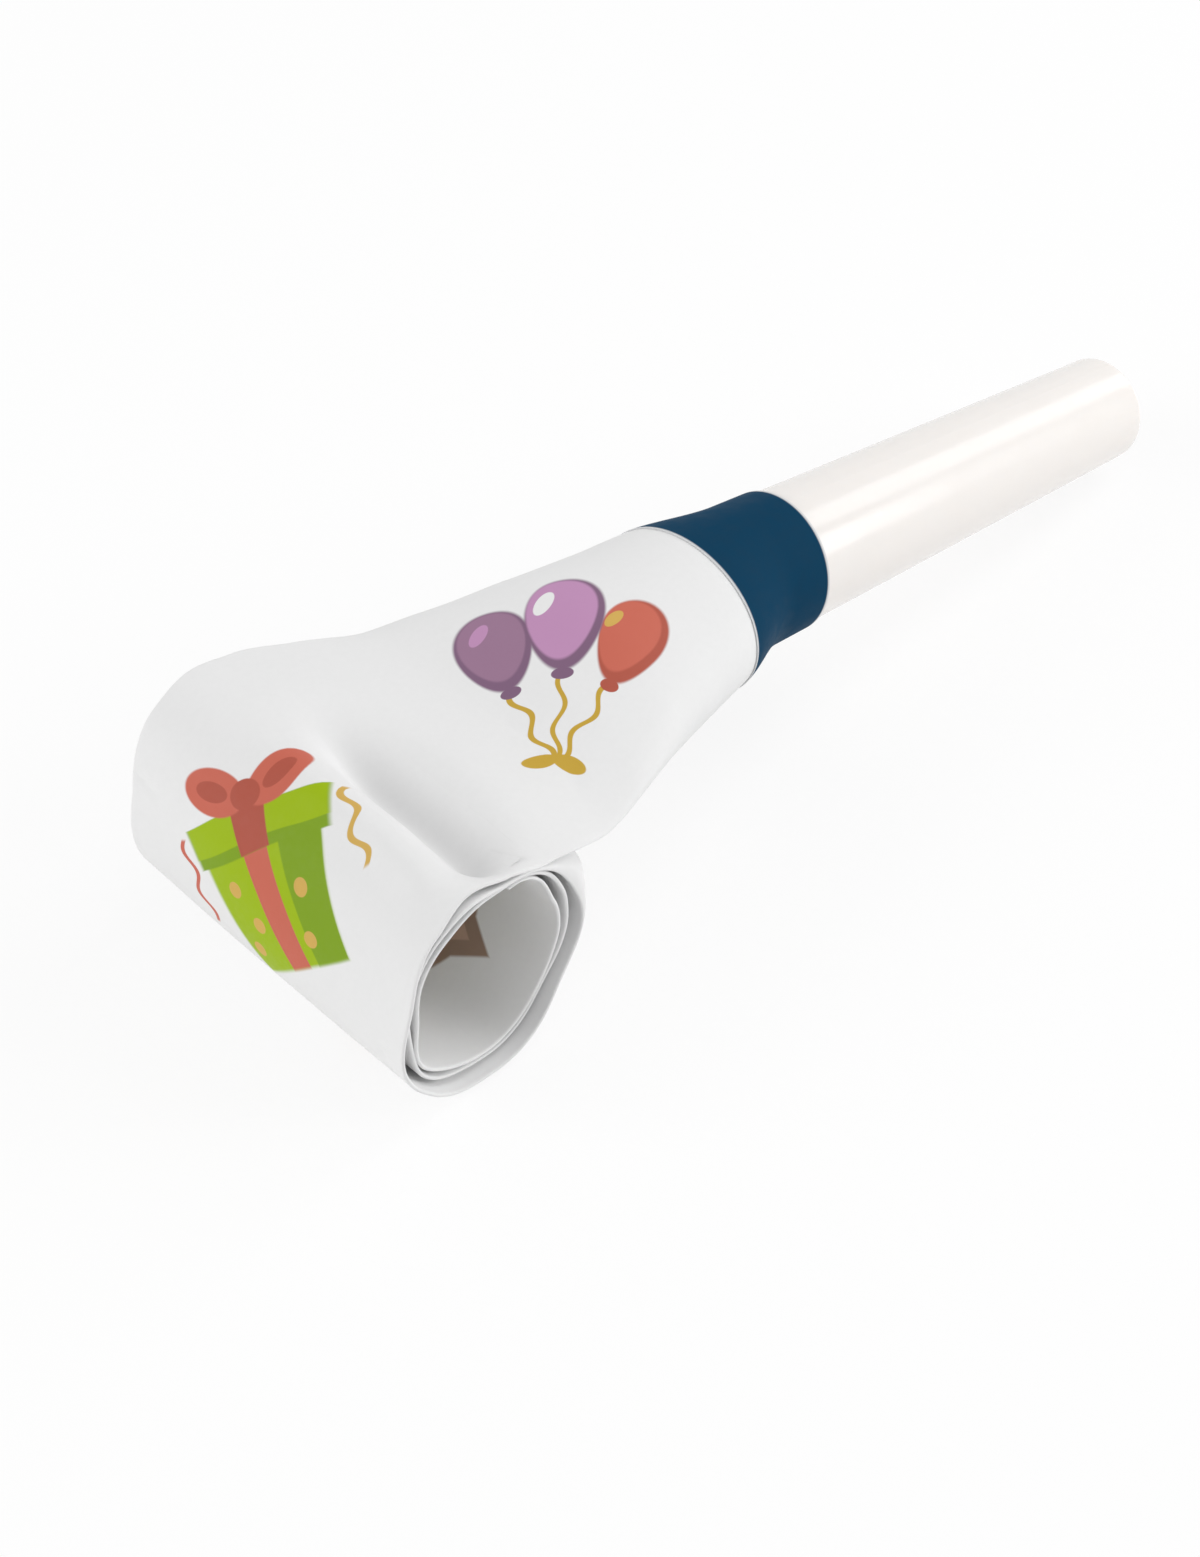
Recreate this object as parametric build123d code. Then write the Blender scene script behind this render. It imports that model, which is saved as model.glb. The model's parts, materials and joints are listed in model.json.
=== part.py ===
from build123d import *
import math
import os

# Party horn blower. A tapered plastic mouthpiece holds a reed. A paper neck is glued round the
# mouthpiece under a collar band, and goes from a round section to a flat one. The flattened
# paper tube then winds into a roll round a spring wire, and unrolls when air is blown in.
#
# Everything is modelled first along the mouthpiece: X runs from the mouth end to the roll, Z is
# up and the roll hangs below. The part is then laid on a table, on its roll and its mouth end:
# +Z is up, +X still points to the roll, and the origin is under the middle of its box.

# Mouthpiece, in millimetres
TIP_R = 5.7  # outer radius at the mouth end
BAND_EDGE_R = 7.0  # outer radius where the paper begins
MOUTH_SHOWN_L = 54.0  # from the mouth end to the paper
MOUTH_INSERT_L = 8.0  # pushed into the paper collar
MOUTH_BORE_R = 4.8  # straight bore at the mouth end
MOUTH_BORE_L = 8.0
LIP_OUTER_R = 0.6  # rounding of the mouth end
LIP_INNER_R = 0.2

# Reed: a plug in the wide end with a trough, a tongue over the trough and a wedge on its tail
SEAT_R = 5.9  # bore that the plug is pressed into
SEAT_L = 8.5
SEAT_STEP = 0.3  # shoulder that stops the plug
PLUG_L = 7.0
PLUG_FIT = 0.03  # radial
TROUGH_L = 14.0
TROUGH_R = 3.2
REED_FACE_Z = -0.4  # flat face that the tongue beats on
CHANNEL_W = 2.2
CHANNEL_D = 2.0
TOE_WALL = 1.2  # closed end of the trough
TONGUE_W = 3.2
TONGUE_T = 0.15
TONGUE_FREE_L = 12.5
TAIL_L = 1.2
TAIL_GAP = 0.2  # above and below the tail, where a real tail bends
TONGUE_LIFT_DEG = 3.0  # the tongue stands open at rest
NOTCH_SIDE = 0.3  # the notch is wider than the tongue by this much on each side
NOTCH_L = 3.0
NOTCH_H = 3.2

# Paper collar, neck and flattened tube
PAPER_T = 0.12
COLLAR_FIT = 0.05  # radial, paper to mouthpiece
BAND_FIT = 0.02  # collar band to neck
GRIP_L = 5.0  # the paper follows the mouthpiece this far, then flares
BAND_L = 14.0
FLARE_HALF_W = 9.95  # neck's half width and half height at the end of the band
FLARE_HALF_H = 7.45
NECK_L = 39.5  # from the band to the top of the roll
NECK_DROP = -1.0  # height of the flat end, against the mouthpiece's axis
NECK_SWAY = 1.8  # the neck bulges to its +Y side by this much
STRIP_W = 37.0
STRIP_T = 0.70  # both plies, with the air and the wire between them

# Roll
ROLL_R = 12.3  # outer radius where the roll begins
PITCH = 1.0  # radius lost in one turn
TURNS = 3.0
LINKS = 25  # stiff lengths that stand for the bending paper
LINK_GAP = 0.05
WIRE_D = 0.35
WIRE_ROOT_L = 12.0  # the wire's straight end, glued in the neck
SEAL_T = 0.24  # folded end of the tube: two plies
SEAL_FLAP_DEG = 28.0
SEAL_FIT = 0.05

# Places along the mouthpiece's axis
INSERT_END = MOUTH_SHOWN_L + MOUTH_INSERT_L
PLUG_FRONT = INSERT_END - SEAT_L
BAND_END = MOUTH_SHOWN_L + BAND_L
ROLL_X = BAND_END + NECK_L
LINK_DEG = 360.0 * TURNS / LINKS

# Heights of the reed, above its face
TAIL_SLOT = TONGUE_T + 2 * TAIL_GAP
HINGE_Z = REED_FACE_Z + TAIL_GAP + TONGUE_T / 2
NOTCH_W = TONGUE_W + 2 * NOTCH_SIDE


def mouth_outer(x):
    """Outer radius of the mouthpiece at x."""
    return TIP_R + (BAND_EDGE_R - TIP_R) * x / MOUTH_SHOWN_L


def box(x, y, z):
    """A box from three (low, high) pairs."""
    size = [high - low for low, high in (x, y, z)]
    middle = [(high + low) / 2 for low, high in (x, y, z)]
    return Pos(*middle) * Box(*size)


def along_x(x, y=0.0, z=0.0):
    """The plane across the mouthpiece at a point, with its own x along +Y and its own y up."""
    return Plane(origin=(x, y, z), x_dir=(0, 1, 0), z_dir=(1, 0, 0))


def mouthpiece():
    """Tapered tube with a straight bore at the mouth, a tapered run and a seat for the reed."""
    outline = Polyline(
        (0, MOUTH_BORE_R),
        (MOUTH_BORE_L, MOUTH_BORE_R),
        (PLUG_FRONT, SEAT_R - SEAT_STEP),
        (PLUG_FRONT, SEAT_R),
        (INSERT_END, SEAT_R),
        (INSERT_END, mouth_outer(INSERT_END)),
        (0, TIP_R),
        close=True,
    )
    half_section = Plane.XZ * make_face(outline)
    tube = revolve(half_section, Axis.X, 360)
    rims = tube.edges().filter_by(GeomType.CIRCLE).sort_by(Axis.X)[:2].sort_by(SortBy.RADIUS)
    tube = fillet(rims[1], LIP_OUTER_R)
    inner_rim = tube.edges().filter_by(GeomType.CIRCLE).sort_by(Axis.X)[:2].sort_by(SortBy.RADIUS)[0]
    return fillet(inner_rim, LIP_INNER_R)


def reed_holder():
    """Plug with a half-round trough towards the mouth, and an air channel through both."""
    plug_r = SEAT_R - PLUG_FIT
    plug = extrude(along_x(PLUG_FRONT) * Circle(plug_r), PLUG_L)
    round_bar = extrude(along_x(PLUG_FRONT - TROUGH_L) * Pos(0, REED_FACE_Z) * Circle(TROUGH_R), TROUGH_L)
    below_face = box(
        (PLUG_FRONT - TROUGH_L, PLUG_FRONT),
        (-TROUGH_R, TROUGH_R),
        (REED_FACE_Z - TROUGH_R, REED_FACE_Z),
    )
    channel = box(
        (PLUG_FRONT - TROUGH_L + TOE_WALL, PLUG_FRONT + PLUG_L),
        (-CHANNEL_W / 2, CHANNEL_W / 2),
        (REED_FACE_Z - CHANNEL_D, REED_FACE_Z),
    )
    notch = box(
        (PLUG_FRONT, PLUG_FRONT + NOTCH_L),
        (-NOTCH_W / 2, NOTCH_W / 2),
        (REED_FACE_Z, REED_FACE_Z + NOTCH_H),
    )
    return plug + (round_bar & below_face) - channel - notch


def reed_tongue():
    """Thin strip over the trough, standing open by its lift, with its tail in the plug's notch."""
    flat = box((-TONGUE_FREE_L, TAIL_L), (-TONGUE_W / 2, TONGUE_W / 2), (-TONGUE_T / 2, TONGUE_T / 2))
    return Pos(PLUG_FRONT, 0, HINGE_Z) * Rot(0, TONGUE_LIFT_DEG, 0) * flat


def reed_wedge():
    """Block that fills the notch above the tongue's tail."""
    return box(
        (PLUG_FRONT, PLUG_FRONT + NOTCH_L),
        (-NOTCH_W / 2, NOTCH_W / 2),
        (REED_FACE_Z + TAIL_SLOT, REED_FACE_Z + NOTCH_H),
    )


# Sections of the neck from the band to the roll: the share of its length, then shares of its
# widening, of its height at the band, of its sway and of its drop. It dips before the roll.
NECK_SHAPE = (
    (0.00, 0.00, 1.000, 0.30, 0.00),
    (0.17, 0.13, 0.985, 0.60, 0.54),
    (0.33, 0.27, 0.940, 0.85, 1.08),
    (0.50, 0.50, 0.640, 1.00, 1.60),
    (0.66, 0.74, 0.250, 0.85, 2.00),
    (0.76, 0.85, 0.115, 0.60, 1.60),
    (0.86, 0.93, 0.028, 0.30, 1.15),
    (1.00, 1.00, 0.000, 0.00, 1.00),
)


def oval(half_w, half_h):
    """Round or pillow-shaped section of six edges, none of them over a quarter circle."""
    side_r = max(half_h * half_h / half_w, min(half_h, STRIP_T / 2))
    if half_w - half_h < 1e-6:
        turn, side_r = 45.0, half_w
        top = ThreePointArc(
            (half_w * math.cos(math.radians(turn)), half_w * math.sin(math.radians(turn))),
            (0, half_h),
            (-half_w * math.cos(math.radians(turn)), half_w * math.sin(math.radians(turn))),
        )
    elif half_h - side_r < 1e-6:
        turn = 90.0
        top = Line((half_w - side_r, half_h), (side_r - half_w, half_h))
    else:
        top_r = ((half_w - side_r) ** 2 + half_h**2 - side_r**2) / (2 * (half_h - side_r))
        turn = math.degrees(math.atan2(top_r - half_h, half_w - side_r))
        join_y = half_w - side_r + side_r * math.cos(math.radians(turn))
        join_z = side_r * math.sin(math.radians(turn))
        top = ThreePointArc((join_y, join_z), (0, half_h), (-join_y, join_z))
    right_upper = CenterArc((half_w - side_r, 0), side_r, 0, turn)
    right_lower = CenterArc((half_w - side_r, 0), side_r, -turn, turn)
    left_upper = CenterArc((side_r - half_w, 0), side_r, 180 - turn, turn)
    left_lower = CenterArc((side_r - half_w, 0), side_r, 180, turn)
    bottom = mirror(top, Plane.XZ)
    return make_face([right_upper, top, left_upper, left_lower, bottom, right_lower])


def eased(places, values, place):
    """Value at a place on a smooth line through the given values that never overshoots them."""
    gaps = [b - a for a, b in zip(places, places[1:])]
    slopes = [(b - a) / gap for a, b, gap in zip(values, values[1:], gaps)]
    inner = [2 * a * b / (a + b) if a * b > 0 else 0.0 for a, b in zip(slopes, slopes[1:])]
    tangents = [slopes[0]] + inner + [slopes[-1]]
    index = max(i for i in range(len(gaps)) if places[i] <= place or i == 0)
    t = (place - places[index]) / gaps[index]
    rise, fall = t * t * (3 - 2 * t), t * (1 - t)
    bend = gaps[index] * fall * ((1 - t) * tangents[index] - t * tangents[index + 1])
    return values[index] + (values[index + 1] - values[index]) * rise + bend


def neck_rows():
    """Places along the axis, with the neck's half width, half height, sway and drop at each."""
    rows = []
    for x in (MOUTH_SHOWN_L, MOUTH_SHOWN_L + GRIP_L):
        collar_r = mouth_outer(x) + COLLAR_FIT + PAPER_T
        rows.append((x, collar_r, collar_r, 0.0, 0.0))
    for share, width, height, sway, drop in NECK_SHAPE:
        half_w = FLARE_HALF_W + (STRIP_W / 2 - FLARE_HALF_W) * width
        half_h = STRIP_T / 2 + (FLARE_HALF_H - STRIP_T / 2) * height
        rows.append((BAND_END + NECK_L * share, half_w, half_h, NECK_SWAY * sway, NECK_DROP * drop))
    return rows


def neck_section(x, grow):
    """Section of the neck's outside at x, pushed out by grow; past the ends it stays the same."""
    columns = list(zip(*neck_rows()))
    inside = min(max(x, columns[0][0]), columns[0][-1])
    half_w, half_h, sway, drop = [eased(columns[0], column, inside) for column in columns[1:]]
    if inside <= MOUTH_SHOWN_L + GRIP_L:
        half_h = half_w = mouth_outer(inside) + COLLAR_FIT + PAPER_T
    return along_x(x, sway, drop) * oval(half_w + grow, half_h + grow)


def neck_form(grow, places):
    """Solid through the neck's sections at the given places, pushed out by grow."""
    return loft([neck_section(x, grow) for x in places], ruled=True)


def spaced(start, end, steps):
    """Even places from start to end, without the start."""
    return [start + (end - start) * step / steps for step in range(1, steps + 1)]


def band_places():
    """Places of the sections under the band."""
    return [MOUTH_SHOWN_L, MOUTH_SHOWN_L + GRIP_L] + spaced(MOUTH_SHOWN_L + GRIP_L, BAND_END, 4)


def neck():
    """Paper from the round collar to the flat start of the roll."""
    over = 1.0  # the hollow runs past both ends
    places = band_places() + spaced(BAND_END, ROLL_X - LINK_GAP, 13)
    outside = neck_form(0, places)
    return outside - neck_form(-PAPER_T, [places[0] - over] + places + [places[-1] + over])


def collar_band():
    """Paper band wrapped round the collar."""
    over = 1.0
    places = band_places()
    outside = neck_form(BAND_FIT + PAPER_T, places)
    return outside - neck_form(BAND_FIT, [places[0] - over] + places + [places[-1] + over])


def roll_arcs():
    """The roll's middle surface as tangent arcs: (centre x, centre z, radius, start angle).
    Angles run from straight up towards +X, the way the strip winds."""
    arcs = []
    centre_x, centre_z, last_r = ROLL_X, NECK_DROP, 0.0
    for link in range(LINKS):
        start = link * LINK_DEG
        radius = ROLL_R - STRIP_T / 2 - PITCH * (start + LINK_DEG / 2) / 360
        centre_x += (last_r - radius) * math.sin(math.radians(start))
        centre_z += (last_r - radius) * math.cos(math.radians(start))
        arcs.append((centre_x, centre_z, radius, start))
        last_r = radius
    return arcs


def on_arc(arc, angle, out=0.0):
    """Point at an angle on an arc, moved outwards by out."""
    centre_x, centre_z, radius, _ = arc
    turn = math.radians(angle)
    return centre_x + (radius + out) * math.sin(turn), centre_z + (radius + out) * math.cos(turn)


def wound(arc, section, start, sweep):
    """A section, drawn across the strip with its own y outwards, swept round an arc."""
    centre_x, centre_z, _, _ = arc
    x, z = on_arc(arc, start)
    turn = math.radians(start)
    across = Plane(origin=(x, 0, z), x_dir=(0, 1, 0), z_dir=(math.cos(turn), 0, -math.sin(turn)))
    return revolve(across * section, Axis((centre_x, 0, centre_z), (0, 1, 0)), sweep)


def link_span(arc):
    """Start angle and sweep of one link, with half of the gap left at each end."""
    gap = math.degrees(LINK_GAP / arc[2])
    return arc[3] + gap / 2, LINK_DEG - gap


def tube_link(arc):
    """One length of the flattened paper tube: two plies joined at their folded edges."""
    plies = SlotOverall(STRIP_W, STRIP_T) - SlotOverall(STRIP_W - 2 * PAPER_T, STRIP_T - 2 * PAPER_T)
    return wound(arc, plies, *link_span(arc))


def wire_link(arc):
    """The spring wire inside one length of the tube."""
    return wound(arc, Circle(WIRE_D / 2), *link_span(arc))


def wire_root():
    """The wire's straight outer end, in the flat end of the neck."""
    start = along_x(ROLL_X - LINK_GAP - WIRE_ROOT_L, 0, NECK_DROP)
    return extrude(start * Circle(WIRE_D / 2), WIRE_ROOT_L)


def end_seal(arc):
    """Folded end of the tube: a cap over its opening and a flap glued on its inner side."""
    end = arc[3] + LINK_DEG
    cap_sweep = math.degrees(SEAL_T / arc[2])
    low = -STRIP_T / 2 - SEAL_FIT - SEAL_T
    cap = Pos(0, (low + STRIP_T / 2) / 2) * Rectangle(STRIP_W, STRIP_T / 2 - low)
    flap = Pos(0, low + SEAL_T / 2) * Rectangle(STRIP_W, SEAL_T)
    folded = wound(arc, cap, end, cap_sweep)
    return folded + wound(arc, flap, end - SEAL_FLAP_DEG, SEAL_FLAP_DEG + cap_sweep)


def lying_tilt():
    """Angle, in degrees, that puts the mouth end and the roll on the same table."""
    lip_x, lip_z = LIP_OUTER_R, LIP_OUTER_R - TIP_R
    arcs = roll_arcs()
    low, high = 0.0, 45.0
    for _ in range(60):
        tilt = (low + high) / 2
        s, c = math.sin(math.radians(tilt)), math.cos(math.radians(tilt))
        arc = arcs[int((180 - tilt) // LINK_DEG)]
        lip = lip_x * s + lip_z * c - LIP_OUTER_R
        roll = arc[0] * s + arc[1] * c - arc[2] - STRIP_T / 2
        if roll < lip:
            low = tilt
        else:
            high = tilt
    return low


def pieces():
    """Every piece by its name, along the mouthpiece's axis."""
    arcs = roll_arcs()
    made = {
        "mouthpiece": mouthpiece(),
        "reed_holder": reed_holder(),
        "reed_tongue": reed_tongue(),
        "reed_wedge": reed_wedge(),
        "collar_band": collar_band(),
        "paper_neck": neck(),
        "spring_wire_root": wire_root(),
        "end_seal": end_seal(arcs[-1]),
    }
    for number, arc in enumerate(arcs, 1):
        made[f"paper_tube_{number:02d}"] = tube_link(arc)
        made[f"spring_wire_{number:02d}"] = wire_link(arc)
    return made


def lay(made):
    """The move that lays the pieces on the table with the origin under the middle of their box."""
    tilt = Rot(0, -lying_tilt(), 0)
    box_now = Compound(children=[tilt * piece for piece in made.values()]).bounding_box()
    middle = box_now.center()
    return Pos(-middle.X, -middle.Y, -box_now.min.Z) * tilt


def main():
    os.makedirs("parts", exist_ok=True)
    made = pieces()
    laid = lay(made)
    for name, piece in made.items():
        export_step(laid * piece, f"parts/{name}.step")
    strip_length = sum(math.radians(LINK_DEG) * arc[2] for arc in roll_arcs())
    print(f"tilt {lying_tilt():.3f} deg, origin {laid.position}, strip {strip_length:.1f} mm")


if __name__ == "__main__":
    main()
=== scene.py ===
import json
import math

import bmesh
import bpy
import numpy as np
from bpy.props import FloatProperty, FloatVectorProperty, IntProperty, PointerProperty
from bpy.types import Operator, Panel, PropertyGroup
from mathutils import Matrix, Vector


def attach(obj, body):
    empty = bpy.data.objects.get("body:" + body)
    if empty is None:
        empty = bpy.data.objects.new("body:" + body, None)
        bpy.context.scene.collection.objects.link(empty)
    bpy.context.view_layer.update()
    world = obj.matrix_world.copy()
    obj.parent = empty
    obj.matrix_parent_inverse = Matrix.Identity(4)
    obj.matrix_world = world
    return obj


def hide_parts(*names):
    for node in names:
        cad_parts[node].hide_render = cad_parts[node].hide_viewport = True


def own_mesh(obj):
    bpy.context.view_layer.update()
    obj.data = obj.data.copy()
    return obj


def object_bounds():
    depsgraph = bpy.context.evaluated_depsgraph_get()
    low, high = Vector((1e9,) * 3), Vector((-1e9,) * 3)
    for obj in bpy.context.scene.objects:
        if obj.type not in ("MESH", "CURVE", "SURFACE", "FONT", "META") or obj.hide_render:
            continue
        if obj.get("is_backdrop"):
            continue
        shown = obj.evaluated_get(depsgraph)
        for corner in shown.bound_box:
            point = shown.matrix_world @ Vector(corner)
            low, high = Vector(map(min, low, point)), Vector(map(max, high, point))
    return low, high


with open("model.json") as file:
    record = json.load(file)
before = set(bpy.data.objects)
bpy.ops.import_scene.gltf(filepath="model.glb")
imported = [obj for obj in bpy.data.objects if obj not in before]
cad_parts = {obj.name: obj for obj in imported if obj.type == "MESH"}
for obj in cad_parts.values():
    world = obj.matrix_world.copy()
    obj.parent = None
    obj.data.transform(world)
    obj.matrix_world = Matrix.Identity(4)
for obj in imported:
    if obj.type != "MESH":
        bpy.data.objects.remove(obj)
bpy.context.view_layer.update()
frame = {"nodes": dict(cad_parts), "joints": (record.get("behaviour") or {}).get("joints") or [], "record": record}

bl_info = {
    "name": "Party Horn Blower",
    "version": (1, 0, 0),
    "blender": (4, 5, 0),
    "location": "View3D > Sidebar > Party Horn",
    "description": "Dresses the packed party horn: paper neck, rolled paper tube, collar band and mouthpiece",
    "category": "Object",
}

# Shapes are worked out in millimetres along the mouthpiece: x from the mouth end to the roll,
# y across the roll and z up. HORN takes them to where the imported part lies, in metres.
MM = 0.001
BORE = next(mount for mount in frame["record"]["mounts"] if mount["name"] == "mouth_bore")
BORE_MIDDLE = 4.0  # of the bore mount, from the mouth end
ALONG = -Vector(BORE["axis"]).normalized()
ACROSS = Vector((0, 1, 0))
RISE = ALONG.cross(ACROSS)
TURNED = Matrix((ALONG, ACROSS, RISE)).transposed().to_4x4()
HORN = Matrix.Translation(Vector(BORE["pos_m"]) - ALONG * BORE_MIDDLE * MM) @ TURNED @ Matrix.Scale(MM, 4)
HINGES = {joint["name"]: HORN.inverted() @ Vector(joint["pos_m"]) for joint in frame["joints"]}
LINKS = sum(name.startswith("unroll_") for name in HINGES)


def linear(code):
    """A colour written as sRGB hex, as the linear red, green, blue and alpha that Blender takes."""
    parts = [int(code[i : i + 2], 16) / 255 for i in (1, 3, 5)]
    return [p / 12.92 if p <= 0.04045 else ((p + 0.055) / 1.055) ** 2.4 for p in parts] + [1.0]


def length(name, description, millimetres):
    """The settings of a length property that is given in millimetres."""
    return dict(name=name, description=description, default=millimetres * MM, unit="LENGTH", precision=5)


def colour(name, description, code):
    """The settings of a colour property that is given as sRGB hex."""
    shade = linear(code)
    return dict(name=name, description=description, default=shade, subtype="COLOR", size=4, min=0, max=1)


class PartyHornSizes(PropertyGroup):
    """Lengths of the paper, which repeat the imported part's, and of its creases and folds."""

    strip_width: FloatProperty(**length("Strip width", "Flattened tube, fold to fold", 37.0))
    strip_thickness: FloatProperty(**length("Strip thickness", "Both plies with the air between", 0.70))
    paper: FloatProperty(**length("Paper", "Thickness of one ply", 0.10))
    roll_radius: FloatProperty(**length("Roll radius", "Outside of the roll where it begins", 12.3))
    roll_pitch: FloatProperty(**length("Roll pitch", "Radius lost in one turn", 1.0))
    wire: FloatProperty(**length("Spring wire", "Diameter of the wire in the tube", 0.35))
    band_start: FloatProperty(**length("Band start", "From the mouth end to the paper", 54.0))
    band_length: FloatProperty(**length("Band length", "Collar band along the horn", 14.0))
    grip: FloatProperty(**length("Grip", "Length of paper that follows the mouthpiece", 5.0))
    pocket: FloatProperty(**length("Pocket", "Swell of the outer turn at its near end", 0.3))
    shoulder: FloatProperty(**length("Shoulder", "Turned-in edge of the outer turn", 0.3))
    puff: FloatProperty(**length("Puff", "Rise of the outer ply behind the shoulder", 2.0))
    wander: FloatProperty(**length("Wander", "Sideways drift of the outer turn", 1.0))
    valley: FloatProperty(**length("Valley", "Dip between the neck and the roll", 4.2))
    crest: FloatProperty(**length("Crest", "Rise of the roll beside the valley", 0.9))
    ripple: FloatProperty(**length("Ripple", "Unevenness of the fold edges", 0.10))
    turns: FloatProperty(name="Turns", description="Turns of the roll", default=3.0, min=1, max=6)
    flatten: FloatProperty(
        name="Flatten", description="Share of a link's bend that is left when it is unrolled",
        default=0.12, min=0.02, max=1, subtype="FACTOR",
    )
    loop: IntProperty(name="Loop points", description="Points round the paper tube", default=144, min=48)


class PartyHornColours(PropertyGroup):
    """Colours of the paper, its print, the band and the plastic."""

    paper: FloatVectorProperty(**colour("Paper", "Coated white paper", "#EBEBEB"))
    navy: FloatVectorProperty(**colour("Navy", "Print of the collar band", "#0A3B57"))
    plastic: FloatVectorProperty(**colour("Plastic", "Milky mouthpiece", "#FBF5F1"))
    holder: FloatVectorProperty(**colour("Holder", "Reed holder", "#F0ECE6"))
    brass: FloatVectorProperty(**colour("Brass", "Reed tongue", "#C9A75B"))
    steel: FloatVectorProperty(**colour("Steel", "Spring wire", "#A7A9AC"))
    grape: FloatVectorProperty(**colour("Grape", "Print ink", "#9B7892"))
    grape_dark: FloatVectorProperty(**colour("Dark grape", "Print ink", "#80627C"))
    mauve: FloatVectorProperty(**colour("Mauve", "Print ink", "#C090B8"))
    mustard: FloatVectorProperty(**colour("Mustard", "Print ink", "#C5A23F"))
    lime: FloatVectorProperty(**colour("Lime", "Print ink", "#9DB912"))
    lime_dark: FloatVectorProperty(**colour("Dark lime", "Print ink", "#7FA01F"))
    coral: FloatVectorProperty(**colour("Coral", "Print ink", "#C96A58"))
    coral_dark: FloatVectorProperty(**colour("Dark coral", "Print ink", "#B05848"))
    tan: FloatVectorProperty(**colour("Tan", "Print ink", "#D2AC5A"))
    bark: FloatVectorProperty(**colour("Bark", "Print ink", "#9A8272"))
    clay: FloatVectorProperty(**colour("Clay", "Print ink", "#B89A88"))
    floor: FloatVectorProperty(**colour("Floor", "Studio floor", "#FAFAFA"))


def sizes():
    """The sizes in millimetres, by name."""
    group = bpy.context.scene.party_horn_sizes
    names = PartyHornSizes.__annotations__
    scale = {name: 1 if name in ("turns", "flatten", "loop") else 1 / MM for name in names}
    return {name: getattr(group, name) * scale[name] for name in names}


def ink(name):
    """A colour by name, as Blender takes it."""
    return tuple(getattr(bpy.context.scene.party_horn_colours, name))


def add_node(tree, kind, inputs=None, **settings):
    """Adds a node with its settings; each input is given a value, or the socket it is linked to."""
    node = tree.nodes.new(kind)
    for name, value in settings.items():
        setattr(node, name, value)
    for key, value in (inputs or {}).items():
        if isinstance(value, bpy.types.NodeSocket):
            tree.links.new(value, node.inputs[key])
        else:
            node.inputs[key].default_value = value
    return node


# Kinds of node that are used often, and the spread of a noise between its darks and its lights.
MATH, VECTOR_MATH, COMBINE = "ShaderNodeMath", "ShaderNodeVectorMath", "ShaderNodeCombineXYZ"
MIX, MAP_RANGE, BUMP = "ShaderNodeMix", "ShaderNodeMapRange", "ShaderNodeBump"
NOISE, MAPPING, COORDINATES = "ShaderNodeTexNoise", "ShaderNodeMapping", "ShaderNodeTexCoord"
PRINCIPLED = "ShaderNodeBsdfPrincipled"
SPREAD = {1: 0.3, 2: 0.7}


def new_material(name):
    """An empty material with its output node."""
    material = bpy.data.materials.new(name)
    material.use_nodes = True
    material.node_tree.nodes.clear()
    return material, add_node(material.node_tree, "ShaderNodeOutputMaterial")


# Print on the paper. A motif's shapes are (form, centre, half size, turn in degrees, ink), in
# millimetres, with x to the right and y up. The motifs follow each other along the strip.
BALLOONS = (
    ("ribbon", (-1.7, -6.2), (0.8, 4.6), 29, "mustard"),
    ("ribbon", (0.55, -5.5), (0.7, 4.7), 0, "mustard"),
    ("ribbon", (2.8, -6.3), (0.8, 4.4), -29, "mustard"),
    ("oval", (-3.8, -2.5), (0.9, 0.6), 20, "grape_dark"),
    ("balloon", (-5.6, 2.4), (3.9, 4.9), 20, "grape_dark"),
    ("balloon", (-5.8, 2.9), (3.4, 4.2), 20, "grape"),
    ("oval", (-7.2, 4.4), (0.7, 1.3), -20, "mauve"),
    ("oval", (4.8, -2.7), (0.9, 0.6), -22, "coral_dark"),
    ("balloon", (6.7, 2.0), (3.8, 4.8), -22, "coral_dark"),
    ("balloon", (6.4, 2.5), (3.3, 4.1), -22, "coral"),
    ("oval", (5.0, 4.2), (0.6, 1.2), -40, "tan"),
    ("oval", (0.5, -1.2), (1.0, 0.6), 0, "grape_dark"),
    ("balloon", (0.5, 4.6), (4.4, 5.5), 0, "grape_dark"),
    ("balloon", (0.2, 5.1), (3.9, 4.8), 0, "mauve"),
    ("oval", (-1.5, 6.9), (0.8, 1.5), -25, "paper"),
    ("oval", (-0.7, -10.3), (1.6, 0.8), 25, "mustard"),
    ("oval", (1.9, -10.3), (1.6, 0.8), -25, "mustard"),
)
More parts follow.
